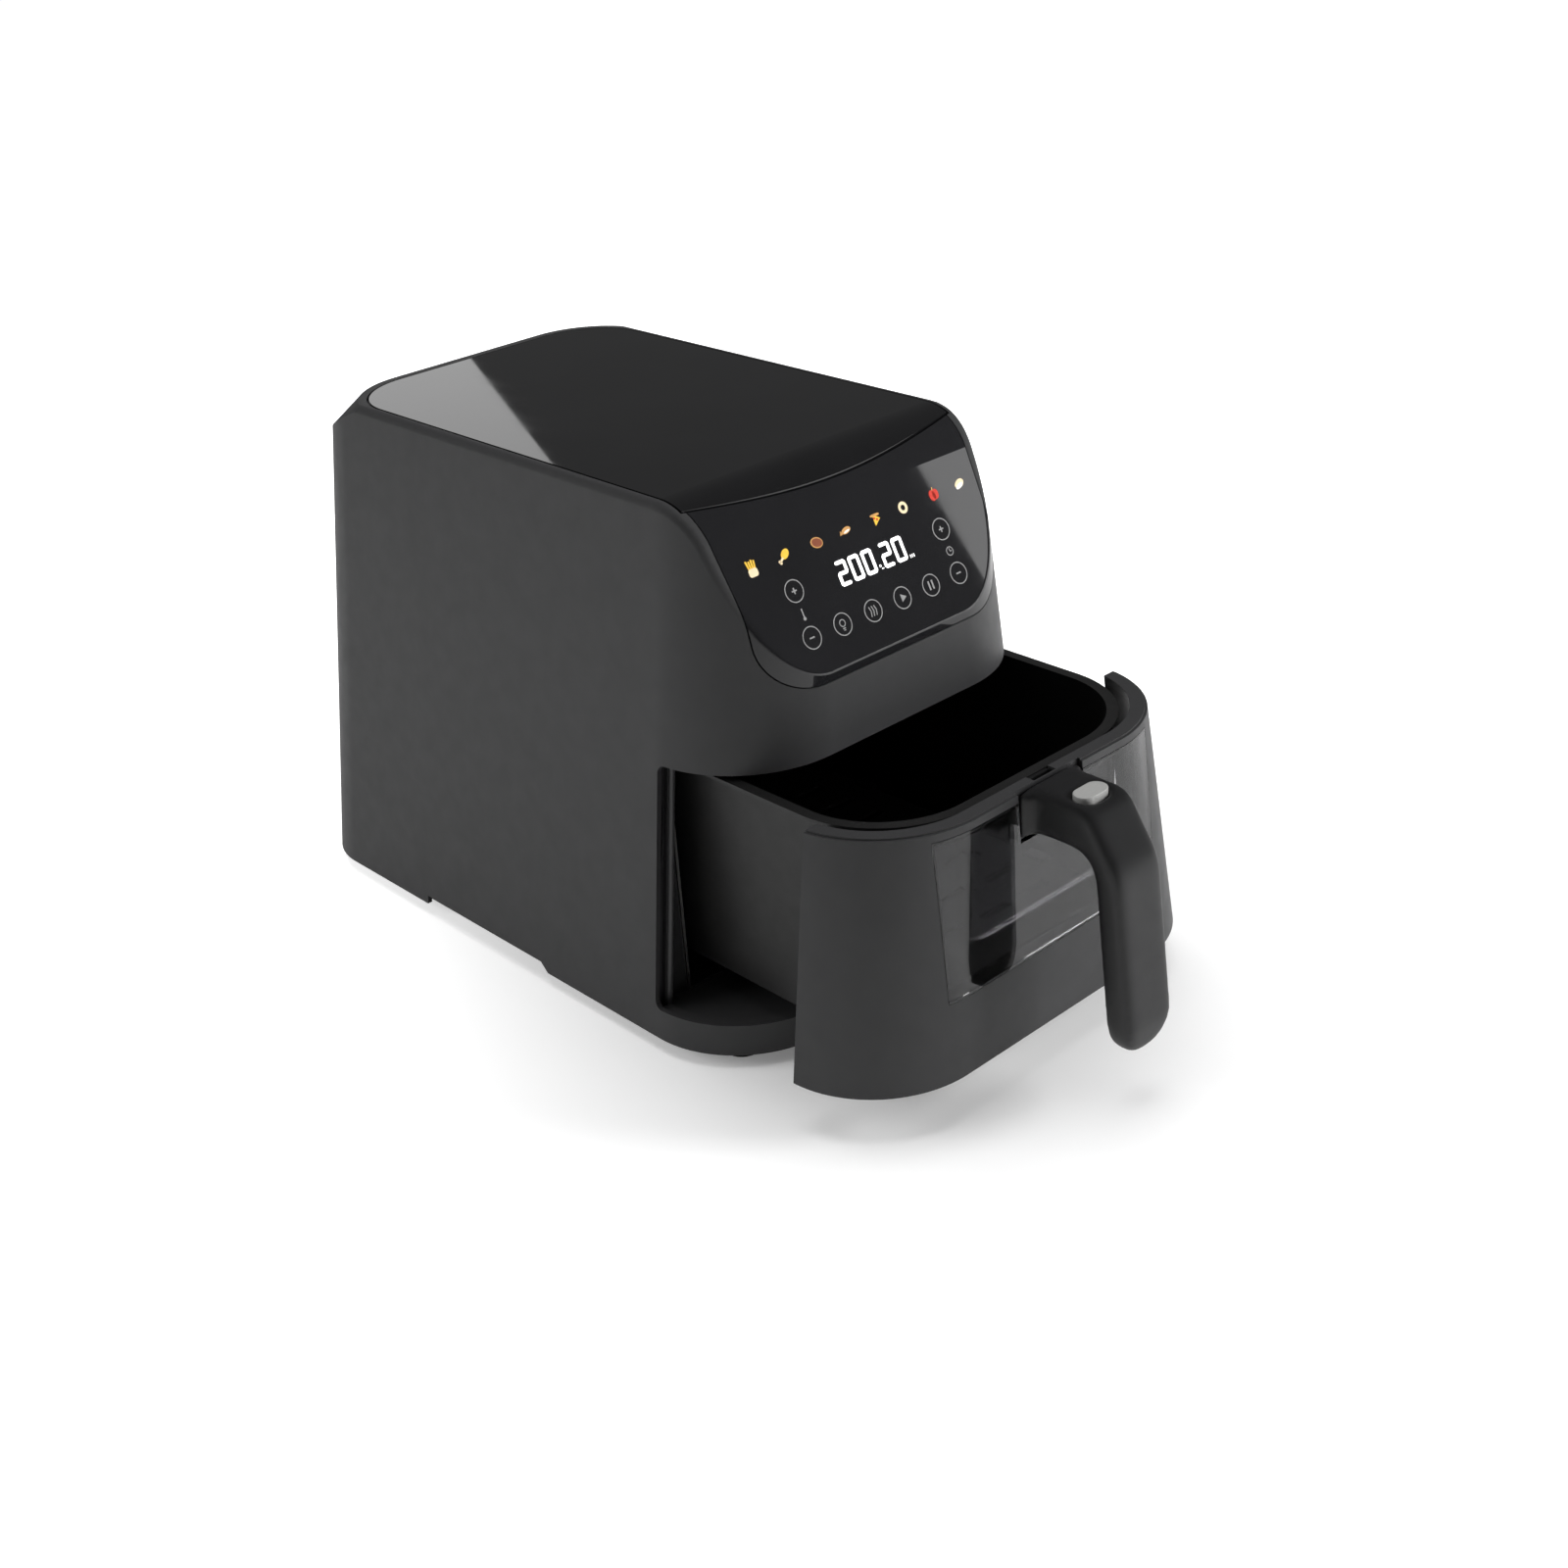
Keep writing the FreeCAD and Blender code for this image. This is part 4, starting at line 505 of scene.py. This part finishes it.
def finish_piece(name, bm, material, body, smooth_angle=None):
    """Makes the mesh an object at the origin that rides on a body."""
    mesh = bpy.data.meshes.new(name)
    if smooth_angle is not None:
        for face in bm.faces:
            face.smooth = True
        for edge in bm.edges:
            edge.smooth = len(edge.link_faces) == 2 and edge.calc_face_angle(0.0) < smooth_angle
    bm.to_mesh(mesh)
    bm.free()
    mesh.materials.append(material)
    piece = bpy.data.objects.new(name, mesh)
    bpy.context.scene.collection.objects.link(piece)
    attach(piece, body)


def screw(bm, spot, out, radius, node=None):
    """Rounded screw head, placed in millimetres; a named part gives the face that it stands on."""
    away = Vector(out)
    place = Vector([value * MM for value in spot])
    if node is not None:
        part = NODES[node]
        start = Vector(place)
        start.y = 1.0
        found, hit = part.ray_cast(part.matrix_world.inverted() @ start, -away)[:2]
        if not found:
            raise RuntimeError(f"no face of {node} for a screw at {spot}")
        place = part.matrix_world @ hit
    turn = away.to_track_quat("Z", "Y").to_matrix().to_4x4()
    head = bmesh.new()
    tall = radius * 0.42
    bmesh.ops.create_cone(head, cap_ends=True, segments=24, radius1=radius, radius2=radius, depth=tall,
                          matrix=Matrix.Translation((0.0, 0.0, tall / 2)))
    rim = [edge for edge in head.edges if all(vert.co.z > tall * 0.9 for vert in edge.verts)]
    bmesh.ops.bevel(head, geom=rim, offset=tall * 0.7, affect="EDGES", segments=3, profile=0.5, material=-1)
    bmesh.ops.transform(head, matrix=Matrix.Translation(place) @ turn, verts=head.verts[:])
    copy = bpy.data.meshes.new("screw_head")
    head.to_mesh(copy)
    head.free()
    bm.from_mesh(copy)
    bpy.data.meshes.remove(copy)


SEGMENTS = {"0": "abcdef", "2": "abged"}


def digit(bm, figure, left, base, look):
    """Seven-bar digit with its lower left corner at left, base."""
    wide, tall, stroke = look.digit_width, look.digit_height, look.stroke
    gap = stroke * 0.12
    across, half = wide - stroke, (tall - stroke) / 2
    low, middle, high = base + stroke / 2, base + tall / 2, base + tall - stroke / 2
    near, far, centre = left + stroke / 2, left + wide - stroke / 2, left + wide / 2
    places = {
        "a": (centre, high, across, 0.0), "g": (centre, middle, across, 0.0), "d": (centre, low, across, 0.0),
        "f": (near, (middle + high) / 2, half, 1.0), "b": (far, (middle + high) / 2, half, 1.0),
        "e": (near, (low + middle) / 2, half, 1.0), "c": (far, (low + middle) / 2, half, 1.0),
    }
    for letter in SEGMENTS[figure]:
        x, y, run, upright = places[letter]
        bar(bm, x, y, run + stroke * 0.6 - gap, stroke, upright * math.pi / 2, stroke * 0.34)


# Operators

class FRYER_OT_housing(bpy.types.Operator):
    """Finish the moulded housing and the parts round the drawer opening"""

    bl_idname = "fryer.housing"
    bl_label = "Housing"

    def execute(self, context):
        look = context.scene.fryer_housing
        shell = moulded_plastic("shell_plastic", look.shell)
        # This inner plastic is painted shade, a darker copy of the shell for the bezel, base cover and rear
        # vent.
        inner = moulded_plastic("inner_plastic", look.shadow_parts, 0.6)
        dress("outer_shell", shell, look.edge)
        tray = moulded_plastic("tray_plastic", look.tray, 0.4)
        dress("bay_tray", tray, look.edge)
        dress("opening_bezel", inner, look.edge)
        dress("base_cover", inner, look.edge)
        dress("rear_vent", inner, look.edge * 0.6)
        rubber = soft_rubber("black_rubber", look.rubber)
        dress("rubber_feet", rubber, look.edge * 1.5)
        dress("cord_inlet", rubber, look.edge)
        # The beads take the shell's colour made 1.7 times lighter: a painted highlight on the opening's
        # edges.
        self.beads(moulded_plastic("bead_plastic", shade(look.shell, 1.7), 0.35))
        return {"FINISHED"}

    def beads(self, plastic):
        """Half-round edges of the frame beside the drawer opening, in a lighter copy of the shell's plastic
        that paints a highlight on them.
        """
        bm = bmesh.new()
        for side in (-1, 1):
            foot = Vector((side * BEAD_FOOT[0], BEAD_FOOT[1], BEAD_FOOT[2]))
            head = Vector((side * BEAD_HEAD[0], BEAD_HEAD[1], BEAD_HEAD[2]))
            way = head - foot
            turn = way.to_track_quat("Z", "Y").to_matrix().to_4x4()
            bmesh.ops.create_cone(bm, cap_ends=True, segments=16, radius1=BEAD_RADIUS,
                                  radius2=BEAD_RADIUS, depth=way.length,
                                  matrix=Matrix.Translation((foot + head) / 2) @ turn)
        finish_piece("opening_beads", bm, plastic, "housing", math.radians(40))


class FRYER_OT_top_panels(bpy.types.Operator):
    """Finish the gloss top panel and the control glass"""

    bl_idname = "fryer.top_panels"
    bl_label = "Top panels"

    def execute(self, context):
        look = context.scene.fryer_housing
        dress("top_panel", gloss_sheet("top_gloss", look.top))
        dress("control_glass", gloss_sheet("control_gloss", look.glass))
        return {"FINISHED"}


class FRYER_OT_digits(bpy.types.Operator):
    """Light the digits of the display"""

    bl_idname = "fryer.digits"
    bl_label = "Display digits"

    def execute(self, context):
        look = context.scene.fryer_prints
        bm = bmesh.new()
        base = slope_run(DIGIT_LINE)
        for figure, left in DIGITS:
            digit(bm, figure, left * MM, base, look)
        ring(bm, 5.2 * MM, base + 2.6 * MM, 0.75 * MM, 0.3 * MM, 16)
        bar(bm, 6.4 * MM, base + 0.9 * MM, 1.6 * MM, 0.55 * MM)
        for step in range(3):
            bar(bm, (27.6 + 1.3 * step) * MM, base + 1.0 * MM, 0.5 * MM, 1.8 * MM)
        print_on_glass("display_digits", bm, lit_segment("lit_digits", look.lit), look.thick)
        return {"FINISHED"}


class FRYER_OT_key_marks(bpy.types.Operator):
    """Print the touch keys: their rings and the signs inside them"""

    bl_idname = "fryer.key_marks"
    bl_label = "Key marks"

    def execute(self, context):
        look = context.scene.fryer_prints
        bm = bmesh.new()
        low, high = (slope_run(height) for height in KEY_LINES)
        for x in LOWER_KEYS:
            ring(bm, x * MM, low, look.ring, look.line)
        for x in UPPER_KEYS:
            ring(bm, x * MM, high, look.ring, look.line)
            bar(bm, x * MM, high, 3.4 * MM, 0.8 * MM)
            bar(bm, x * MM, high + 1.05 * MM, 0.8 * MM, 1.3 * MM)
            bar(bm, x * MM, high - 1.05 * MM, 0.8 * MM, 1.3 * MM)
        for x in (LOWER_KEYS[0], LOWER_KEYS[-1]):
            bar(bm, x * MM, low, 3.4 * MM, 0.8 * MM)
        self.signs(bm, low, high)
        print_on_glass("key_marks", bm, printed_ink("key_ink", look.ink), look.thick)
        return {"FINISHED"}

    def signs(self, bm, low, high):
        """Lamp, heat waves, start and pause in the lower rings; thermometer and clock beside the digits."""
        lamp, waves, start, pause = LOWER_KEYS[1:-1]
        ring(bm, lamp * MM, low + 0.6 * MM, 2.1 * MM, 0.5 * MM, 24)
        bar(bm, lamp * MM, low - 2.3 * MM, 2.0 * MM, 0.6 * MM)
        bar(bm, lamp * MM, low - 3.3 * MM, 1.4 * MM, 0.5 * MM)
        for step in (-1, 0, 1):
            bar(bm, (waves + 1.9 * step) * MM, low + 1.3 * MM, 0.6 * MM, 2.8 * MM, math.radians(16))
            bar(bm, (waves + 1.9 * step) * MM, low - 1.5 * MM, 0.6 * MM, 2.8 * MM, math.radians(-16))
        disc(bm, (start + 0.4) * MM, low, 5.2 * MM, 5.2 * MM, math.radians(-90), 3)
        for step in (-1, 1):
            bar(bm, (pause + 1.3 * step) * MM, low, 1.1 * MM, 5.0 * MM)
        middle = (low + high) / 2
        bar(bm, -55.3 * MM, middle + 0.8 * MM, 0.8 * MM, 4.6 * MM)
        disc(bm, -55.3 * MM, middle - 2.4 * MM, 2.0 * MM, 2.0 * MM, 0.0, 18)
        ring(bm, 55.4 * MM, middle, 2.6 * MM, 0.5 * MM, 24)
        bar(bm, 55.4 * MM, middle + 0.8 * MM, 0.5 * MM, 1.6 * MM)
        bar(bm, 56.1 * MM, middle - 0.1 * MM, 1.3 * MM, 0.5 * MM)


class FRYER_OT_food_marks(bpy.types.Operator):
    """Print the row of food marks above the digits"""

    bl_idname = "fryer.food_marks"
    bl_label = "Food marks"

    def execute(self, context):
        look = context.scene.fryer_prints
        self.inks = {}
        self.base = slope_run(FOOD_LINE)
        for food, x in FOODS.items():
            getattr(self, food)(x)
        for layer, (name, bm) in enumerate(self.inks.items(), 1):
            ink = printed_ink(f"food_{name}", getattr(look, name))
            print_on_glass(f"food_marks_{name}", bm, ink, look.thick * (0.6 + 0.4 * layer))
        return {"FINISHED"}

    def stroke(self, ink, x, dx, dy, wide, tall, turn=0.0, snip=0.0):
        bm = self.inks.setdefault(ink, bmesh.new())
        bar(bm, (x + dx) * MM, self.base + dy * MM, wide * MM, tall * MM, math.radians(turn), snip * MM)

    def blot(self, ink, x, dx, dy, wide, tall, turn=0.0, corners=24):
        bm = self.inks.setdefault(ink, bmesh.new())
        disc(bm, (x + dx) * MM, self.base + dy * MM, wide * MM, tall * MM, math.radians(turn), corners)

    def chips(self, x):
        for step, turn in enumerate((9, 3, -3, -9)):
            self.stroke("yellow", x, 1.5 * step - 2.25, 1.9, 1.1, 5.4 - step % 2, turn)
        self.stroke("cream", x, 0.0, -2.0, 6.0, 4.4, 0.0, 0.9)

    def drumstick(self, x):
        self.blot("yellow", x, 0.9, 0.8, 6.4, 4.4, 35)
        self.stroke("cream", x, -2.5, -1.7, 3.4, 1.2, 35)
        self.blot("cream", x, -4.0, -2.2, 1.6, 1.6)
        self.blot("cream", x, -3.4, -3.0, 1.6, 1.6)

    def steak(self, x):
        self.blot("tan", x, 0.0, 0.0, 8.2, 5.8, -15)
        self.blot("brown", x, 0.1, 0.0, 7.0, 4.6, -15)
        self.stroke("cream", x, 0.6, 0.4, 2.6, 0.6, -20)

    def fish(self, x):
        self.blot("tan", x, 0.6, 0.2, 6.8, 3.4, 12)
        self.blot("tan", x, -3.2, -0.6, 3.0, 3.0, 12, 3)
        self.blot("white", x, 0.8, -0.4, 4.4, 1.2, 12)

    def slice(self, x):
        self.blot("yellow", x, 0.0, -0.4, 7.6, 6.4, -90, 3)
        self.stroke("tan", x, 0.0, 2.0, 6.6, 1.3, 0.0, 0.5)
        self.blot("red", x, -0.9, 0.4, 1.3, 1.3)
        self.blot("red", x, 0.8, -0.6, 1.3, 1.3)

    def hoop(self, x):
        ring(self.inks.setdefault("cream", bmesh.new()), x * MM, self.base, 3.3 * MM, 1.7 * MM, 28)

    def fruit(self, x):
        self.blot("red", x, -1.1, 0.0, 4.6, 6.2, 8)
        self.blot("red", x, 1.3, 0.2, 4.6, 5.8, -8)
        self.stroke("tan", x, 0.2, 3.4, 0.8, 1.8, -15)

    def bun(self, x):
        self.blot("cream", x, 0.0, 0.6, 7.4, 4.6, 20)
        self.blot("white", x, -0.4, -0.6, 6.2, 2.6, 20)


class FRYER_OT_screws(bpy.types.Operator):
    """Set the screws of the base cover and the rear vent"""

    bl_idname = "fryer.screws"
    bl_label = "Screws"

    def execute(self, context):
        look = context.scene.fryer_metal
        bm = bmesh.new()
        for spot in BASE_SCREWS:
            screw(bm, spot, (0.0, 0.0, -1.0), 3.6 * MM)
        for spot in VENT_SCREWS:
            screw(bm, spot, (0.0, 1.0, 0.0), 2.2 * MM, "rear_vent")
        finish_piece("screws", bm, sheet_metal("screw_steel", look.bright, 0.3), "housing", math.radians(40))
        return {"FINISHED"}


class FRYER_OT_drawer(bpy.types.Operator):
    """Finish the drawer front, its window, its frame and its pan"""

    bl_idname = "fryer.drawer"
    bl_label = "Drawer and pan"

    def execute(self, context):
        look = context.scene.fryer_drawer
        front = moulded_plastic("drawer_plastic", look.front)
        inner = moulded_plastic("frame_plastic", shade(look.front, 0.5), 0.5)
        dress("drawer_front", front, look.edge)
        dress("drawer_frame", inner, look.edge)
        dress("smoked_pane", clear_sheet("smoked_sheet", look.pane))
        dress("sight_glass", clear_sheet("sight_sheet", look.sight))
        dress("window_gasket", soft_rubber("gasket_rubber", context.scene.fryer_housing.rubber))
        dress("pan", coated_metal("pan_coating", look.pan), 0.0006)
        dress("crisper_plate", coated_metal("plate_coating", look.plate))
        dress("plate_bumpers", soft_rubber("bumper_rubber", context.scene.fryer_housing.rubber), 0.0004)
        dress("pan_glides", inner, 0.0005)
        return {"FINISHED"}


class FRYER_OT_handle(bpy.types.Operator):
    """Finish the handle, the release button and the latch"""

    bl_idname = "fryer.handle"
    bl_label = "Handle"

    def execute(self, context):
        look = context.scene.fryer_drawer
        grip = moulded_plastic("handle_plastic", look.handle, 0.46)
        soften(dress("handle", grip), look.grain, look.softness)
        dress("latch_slide", moulded_plastic("latch_plastic", shade(look.handle, 0.6)), 0.0003)
        dress("release_button", painted_metal("button_metal", look.button), 0.0008, 3)
        dress("button_spring", sheet_metal("spring_steel", context.scene.fryer_metal.bright, 0.3))
        return {"FINISHED"}


class FRYER_OT_hot_air_unit(bpy.types.Operator):
    """Finish the liner, heating element, fans, motor and electronics"""

    bl_idname = "fryer.hot_air_unit"
    bl_label = "Hot air unit"

    def execute(self, context):
        look = context.scene.fryer_metal
        sheet = sheet_metal("liner_sheet", look.sheet, 0.36)
        bright = sheet_metal("bright_steel", look.bright, 0.28)
        for node in ("cavity_liner", "fan_chamber", "air_duct"):
            dress(node, sheet)
        sheath = heated_sheath("element_sheath", look.element)
        for node in ("heating_element", "temperature_sensor", "fan_guard"):
            dress(node, sheath)
        for node in ("element_posts", "motor_bracket", "motor_shaft", "bay_rails", "pan_bracket"):
            dress(node, bright)
        dress("convection_fan", sheet_metal("fan_metal", look.fan, 0.34))
        dress("fan_motor", sheet_metal("motor_can", shade(look.bright, 0.7), 0.38, (30.0, 30.0, 1.0)))
        plastic = moulded_plastic("unit_plastic", (0.02, 0.02, 0.02), 0.6)
        for node in ("cooling_fan", "board_posts", "board_components", "drawer_switch", "display_module"):
            dress(node, plastic)
        board = circuit_board("board_lacquer", look.board)
        dress("control_board", board)
        dress("power_board", board)
        dress("touch_sensors", soft_rubber("sensor_foam", (0.06, 0.06, 0.06)))
        return {"FINISHED"}


class FRYER_OT_stage(bpy.types.Operator):
    """Set up the camera, the soft lights and the pale floor"""

    bl_idname = "fryer.stage"
    bl_label = "Stage"

    def execute(self, context):
        look = context.scene.fryer_stage
        self.camera(context, look)
        self.lights(context, look)
        self.cards(context, look)
        self.floor(context, look)
        context.scene.view_settings.view_transform = "Standard"
        return {"FINISHED"}

    def camera(self, context, look):
        """Camera turned by yaw, pitch and roll."""
        ahead = Vector((math.sin(look.yaw) * math.cos(look.pitch), math.cos(look.yaw) * math.cos(look.pitch),
                        -math.sin(look.pitch)))
        level = ahead.cross(Vector((0.0, 0.0, 1.0))).normalized()
        over = level.cross(ahead)
        right = math.cos(look.roll) * level + math.sin(look.roll) * over
        up = math.cos(look.roll) * over - math.sin(look.roll) * level
        data = bpy.data.cameras.new("studio_camera")
        data.sensor_width = 36.0
        data.lens = look.lens
        data.clip_start = 0.01
        data.clip_end = 50.0
        camera = bpy.data.objects.new("studio_camera", data)
        camera.matrix_world = (Matrix.Translation(look.camera_at)
                               @ Matrix((right, up, -ahead)).transposed().to_4x4())
        context.scene.collection.objects.link(camera)
        context.scene.camera = camera

    def soft_box(self, context, name, spot, target, size, watts):
        """Rectangular light that gloss surfaces don't mirror."""
        data = bpy.data.lights.new(name, "AREA")
        data.shape = "RECTANGLE"
        data.size, data.size_y = size
        data.energy = watts
        lamp = bpy.data.objects.new(name, data)
        lamp.location = spot
        lamp.rotation_mode = "QUATERNION"
        lamp.rotation_quaternion = (Vector(target) - Vector(spot)).to_track_quat("-Z", "Y")
        lamp.visible_glossy = False
        context.scene.collection.objects.link(lamp)

    def lights(self, context, look):
        """Soft boxes, and a world that lights, mirrors and shows at three strengths."""
        for name, (spot, target, size) in SOFT_BOXES.items():
            self.soft_box(context, f"{name}_box", spot, target, size, getattr(look, f"{name}_light"))
        world = bpy.data.worlds.new("studio")
        world.use_nodes = True
        context.scene.world = world
        tree = world.node_tree
        backdrop = tree.nodes["Background"]
        backdrop.inputs["Color"].default_value = (1.0, 1.0, 1.0, 1.0)
        path = tree.nodes.new("ShaderNodeLightPath")
        level = look.ambient
        for ray, strength in (("Is Glossy Ray", look.mirrored), ("Is Camera Ray", 1.0)):
            choice = tree.nodes.new("ShaderNodeMix")
            choice.inputs["B"].default_value = strength
            if isinstance(level, float):
                choice.inputs["A"].default_value = level
            else:
                tree.links.new(level, choice.inputs["A"])
            tree.links.new(path.outputs[ray], choice.inputs["Factor"])
            level = choice.outputs["Result"]
        tree.links.new(level, backdrop.inputs["Strength"])

    def cards(self, context, look):
        """Bright cards that only gloss surfaces show."""
        for name, corners in CARDS.items():
            glow = bpy.data.materials.new(f"{name}_white")
            glow.use_nodes = True
            tree = glow.node_tree
            light = tree.nodes.new("ShaderNodeEmission")
            light.inputs["Strength"].default_value = getattr(look, name)
            tree.links.new(light.outputs["Emission"], tree.nodes["Material Output"].inputs["Surface"])
            bm = bmesh.new()
            bmesh.ops.contextual_create(bm, geom=[bm.verts.new(corner) for corner in corners])
            mesh = bpy.data.meshes.new(name)
            bm.to_mesh(mesh)
            bm.free()
            mesh.materials.append(glow)
            card = bpy.data.objects.new(name, mesh)
            context.scene.collection.objects.link(card)
            card.visible_camera = False
            card.visible_diffuse = False
            card.visible_transmission = False
            card.visible_shadow = False

    def floor(self, context, look):
        """Pale floor that glows for the camera alone, so that it fades to white."""
        bm = bmesh.new()
        bmesh.ops.create_grid(bm, x_segments=1, y_segments=1, size=20.0)
        mesh = bpy.data.meshes.new("floor")
        bm.to_mesh(mesh)
        bm.free()
        finish = bpy.data.materials.new("floor_white")
        finish.use_nodes = True
        tree = finish.node_tree
        matt = tree.nodes["Principled BSDF"]
        matt.inputs["Base Color"].default_value = (*look.floor, 1.0)
        matt.inputs["Roughness"].default_value = 0.9
        matt.inputs["Specular IOR Level"].default_value = 0.0
        place = tree.nodes.new("ShaderNodeTexCoord")
        away = tree.nodes.new("ShaderNodeVectorMath")
        away.operation = "DISTANCE"
        away.inputs[1].default_value = GLOW_CENTRE
        level = tree.nodes.new("ShaderNodeMapRange")
        for socket, value in GLOW_RANGE.items():
            level.inputs[socket].default_value = value
        path = tree.nodes.new("ShaderNodeLightPath")
        seen = tree.nodes.new("ShaderNodeMath")
        seen.operation = "MULTIPLY"
        glow = tree.nodes.new("ShaderNodeEmission")
        both = tree.nodes.new("ShaderNodeAddShader")
        tree.links.new(place.outputs["Object"], away.inputs[0])
        tree.links.new(away.outputs["Value"], level.inputs["Value"])
        tree.links.new(level.outputs["Result"], seen.inputs[0])
        tree.links.new(path.outputs["Is Camera Ray"], seen.inputs[1])
        tree.links.new(seen.outputs[0], glow.inputs["Strength"])
        tree.links.new(matt.outputs["BSDF"], both.inputs[0])
        tree.links.new(glow.outputs["Emission"], both.inputs[1])
        tree.links.new(both.outputs["Shader"], tree.nodes["Material Output"].inputs["Surface"])
        mesh.materials.append(finish)
        floor = bpy.data.objects.new("floor", mesh)
        context.scene.collection.objects.link(floor)


STEPS = (
    FRYER_OT_housing, FRYER_OT_top_panels, FRYER_OT_digits, FRYER_OT_key_marks, FRYER_OT_food_marks,
    FRYER_OT_screws, FRYER_OT_drawer, FRYER_OT_handle, FRYER_OT_hot_air_unit, FRYER_OT_stage,
)


class FRYER_PT_looks(bpy.types.Panel):
    """Lists the steps that dress the air fryer"""

    bl_idname = "FRYER_PT_looks"
    bl_label = "Air Fryer"
    bl_space_type = "VIEW_3D"
    bl_region_type = "UI"
    bl_category = "Air Fryer"

    def draw(self, context):
        for step in STEPS:
            self.layout.operator(step.bl_idname)


LOOKS = {
    "fryer_housing": HousingLook, "fryer_drawer": DrawerLook, "fryer_metal": MetalLook,
    "fryer_prints": PrintLook, "fryer_stage": StageLook,
}


def register():
    for look in LOOKS.values():
        bpy.utils.register_class(look)
    for step in (*STEPS, FRYER_PT_looks):
        bpy.utils.register_class(step)
    for name, look in LOOKS.items():
        setattr(bpy.types.Scene, name, PointerProperty(type=look))


def unregister():
    for name in LOOKS:
        delattr(bpy.types.Scene, name)
    for step in (FRYER_PT_looks, *reversed(STEPS)):
        bpy.utils.unregister_class(step)
    for look in reversed(LOOKS.values()):
        bpy.utils.unregister_class(look)


def main():
    register()
    bpy.ops.fryer.housing()
    bpy.ops.fryer.top_panels()
    bpy.ops.fryer.digits()
    bpy.ops.fryer.key_marks()
    bpy.ops.fryer.food_marks()
    bpy.ops.fryer.screws()
    bpy.ops.fryer.drawer()
    bpy.ops.fryer.handle()
    bpy.ops.fryer.hot_air_unit()
    bpy.ops.fryer.stage()


if __name__ == "__main__":
    main()
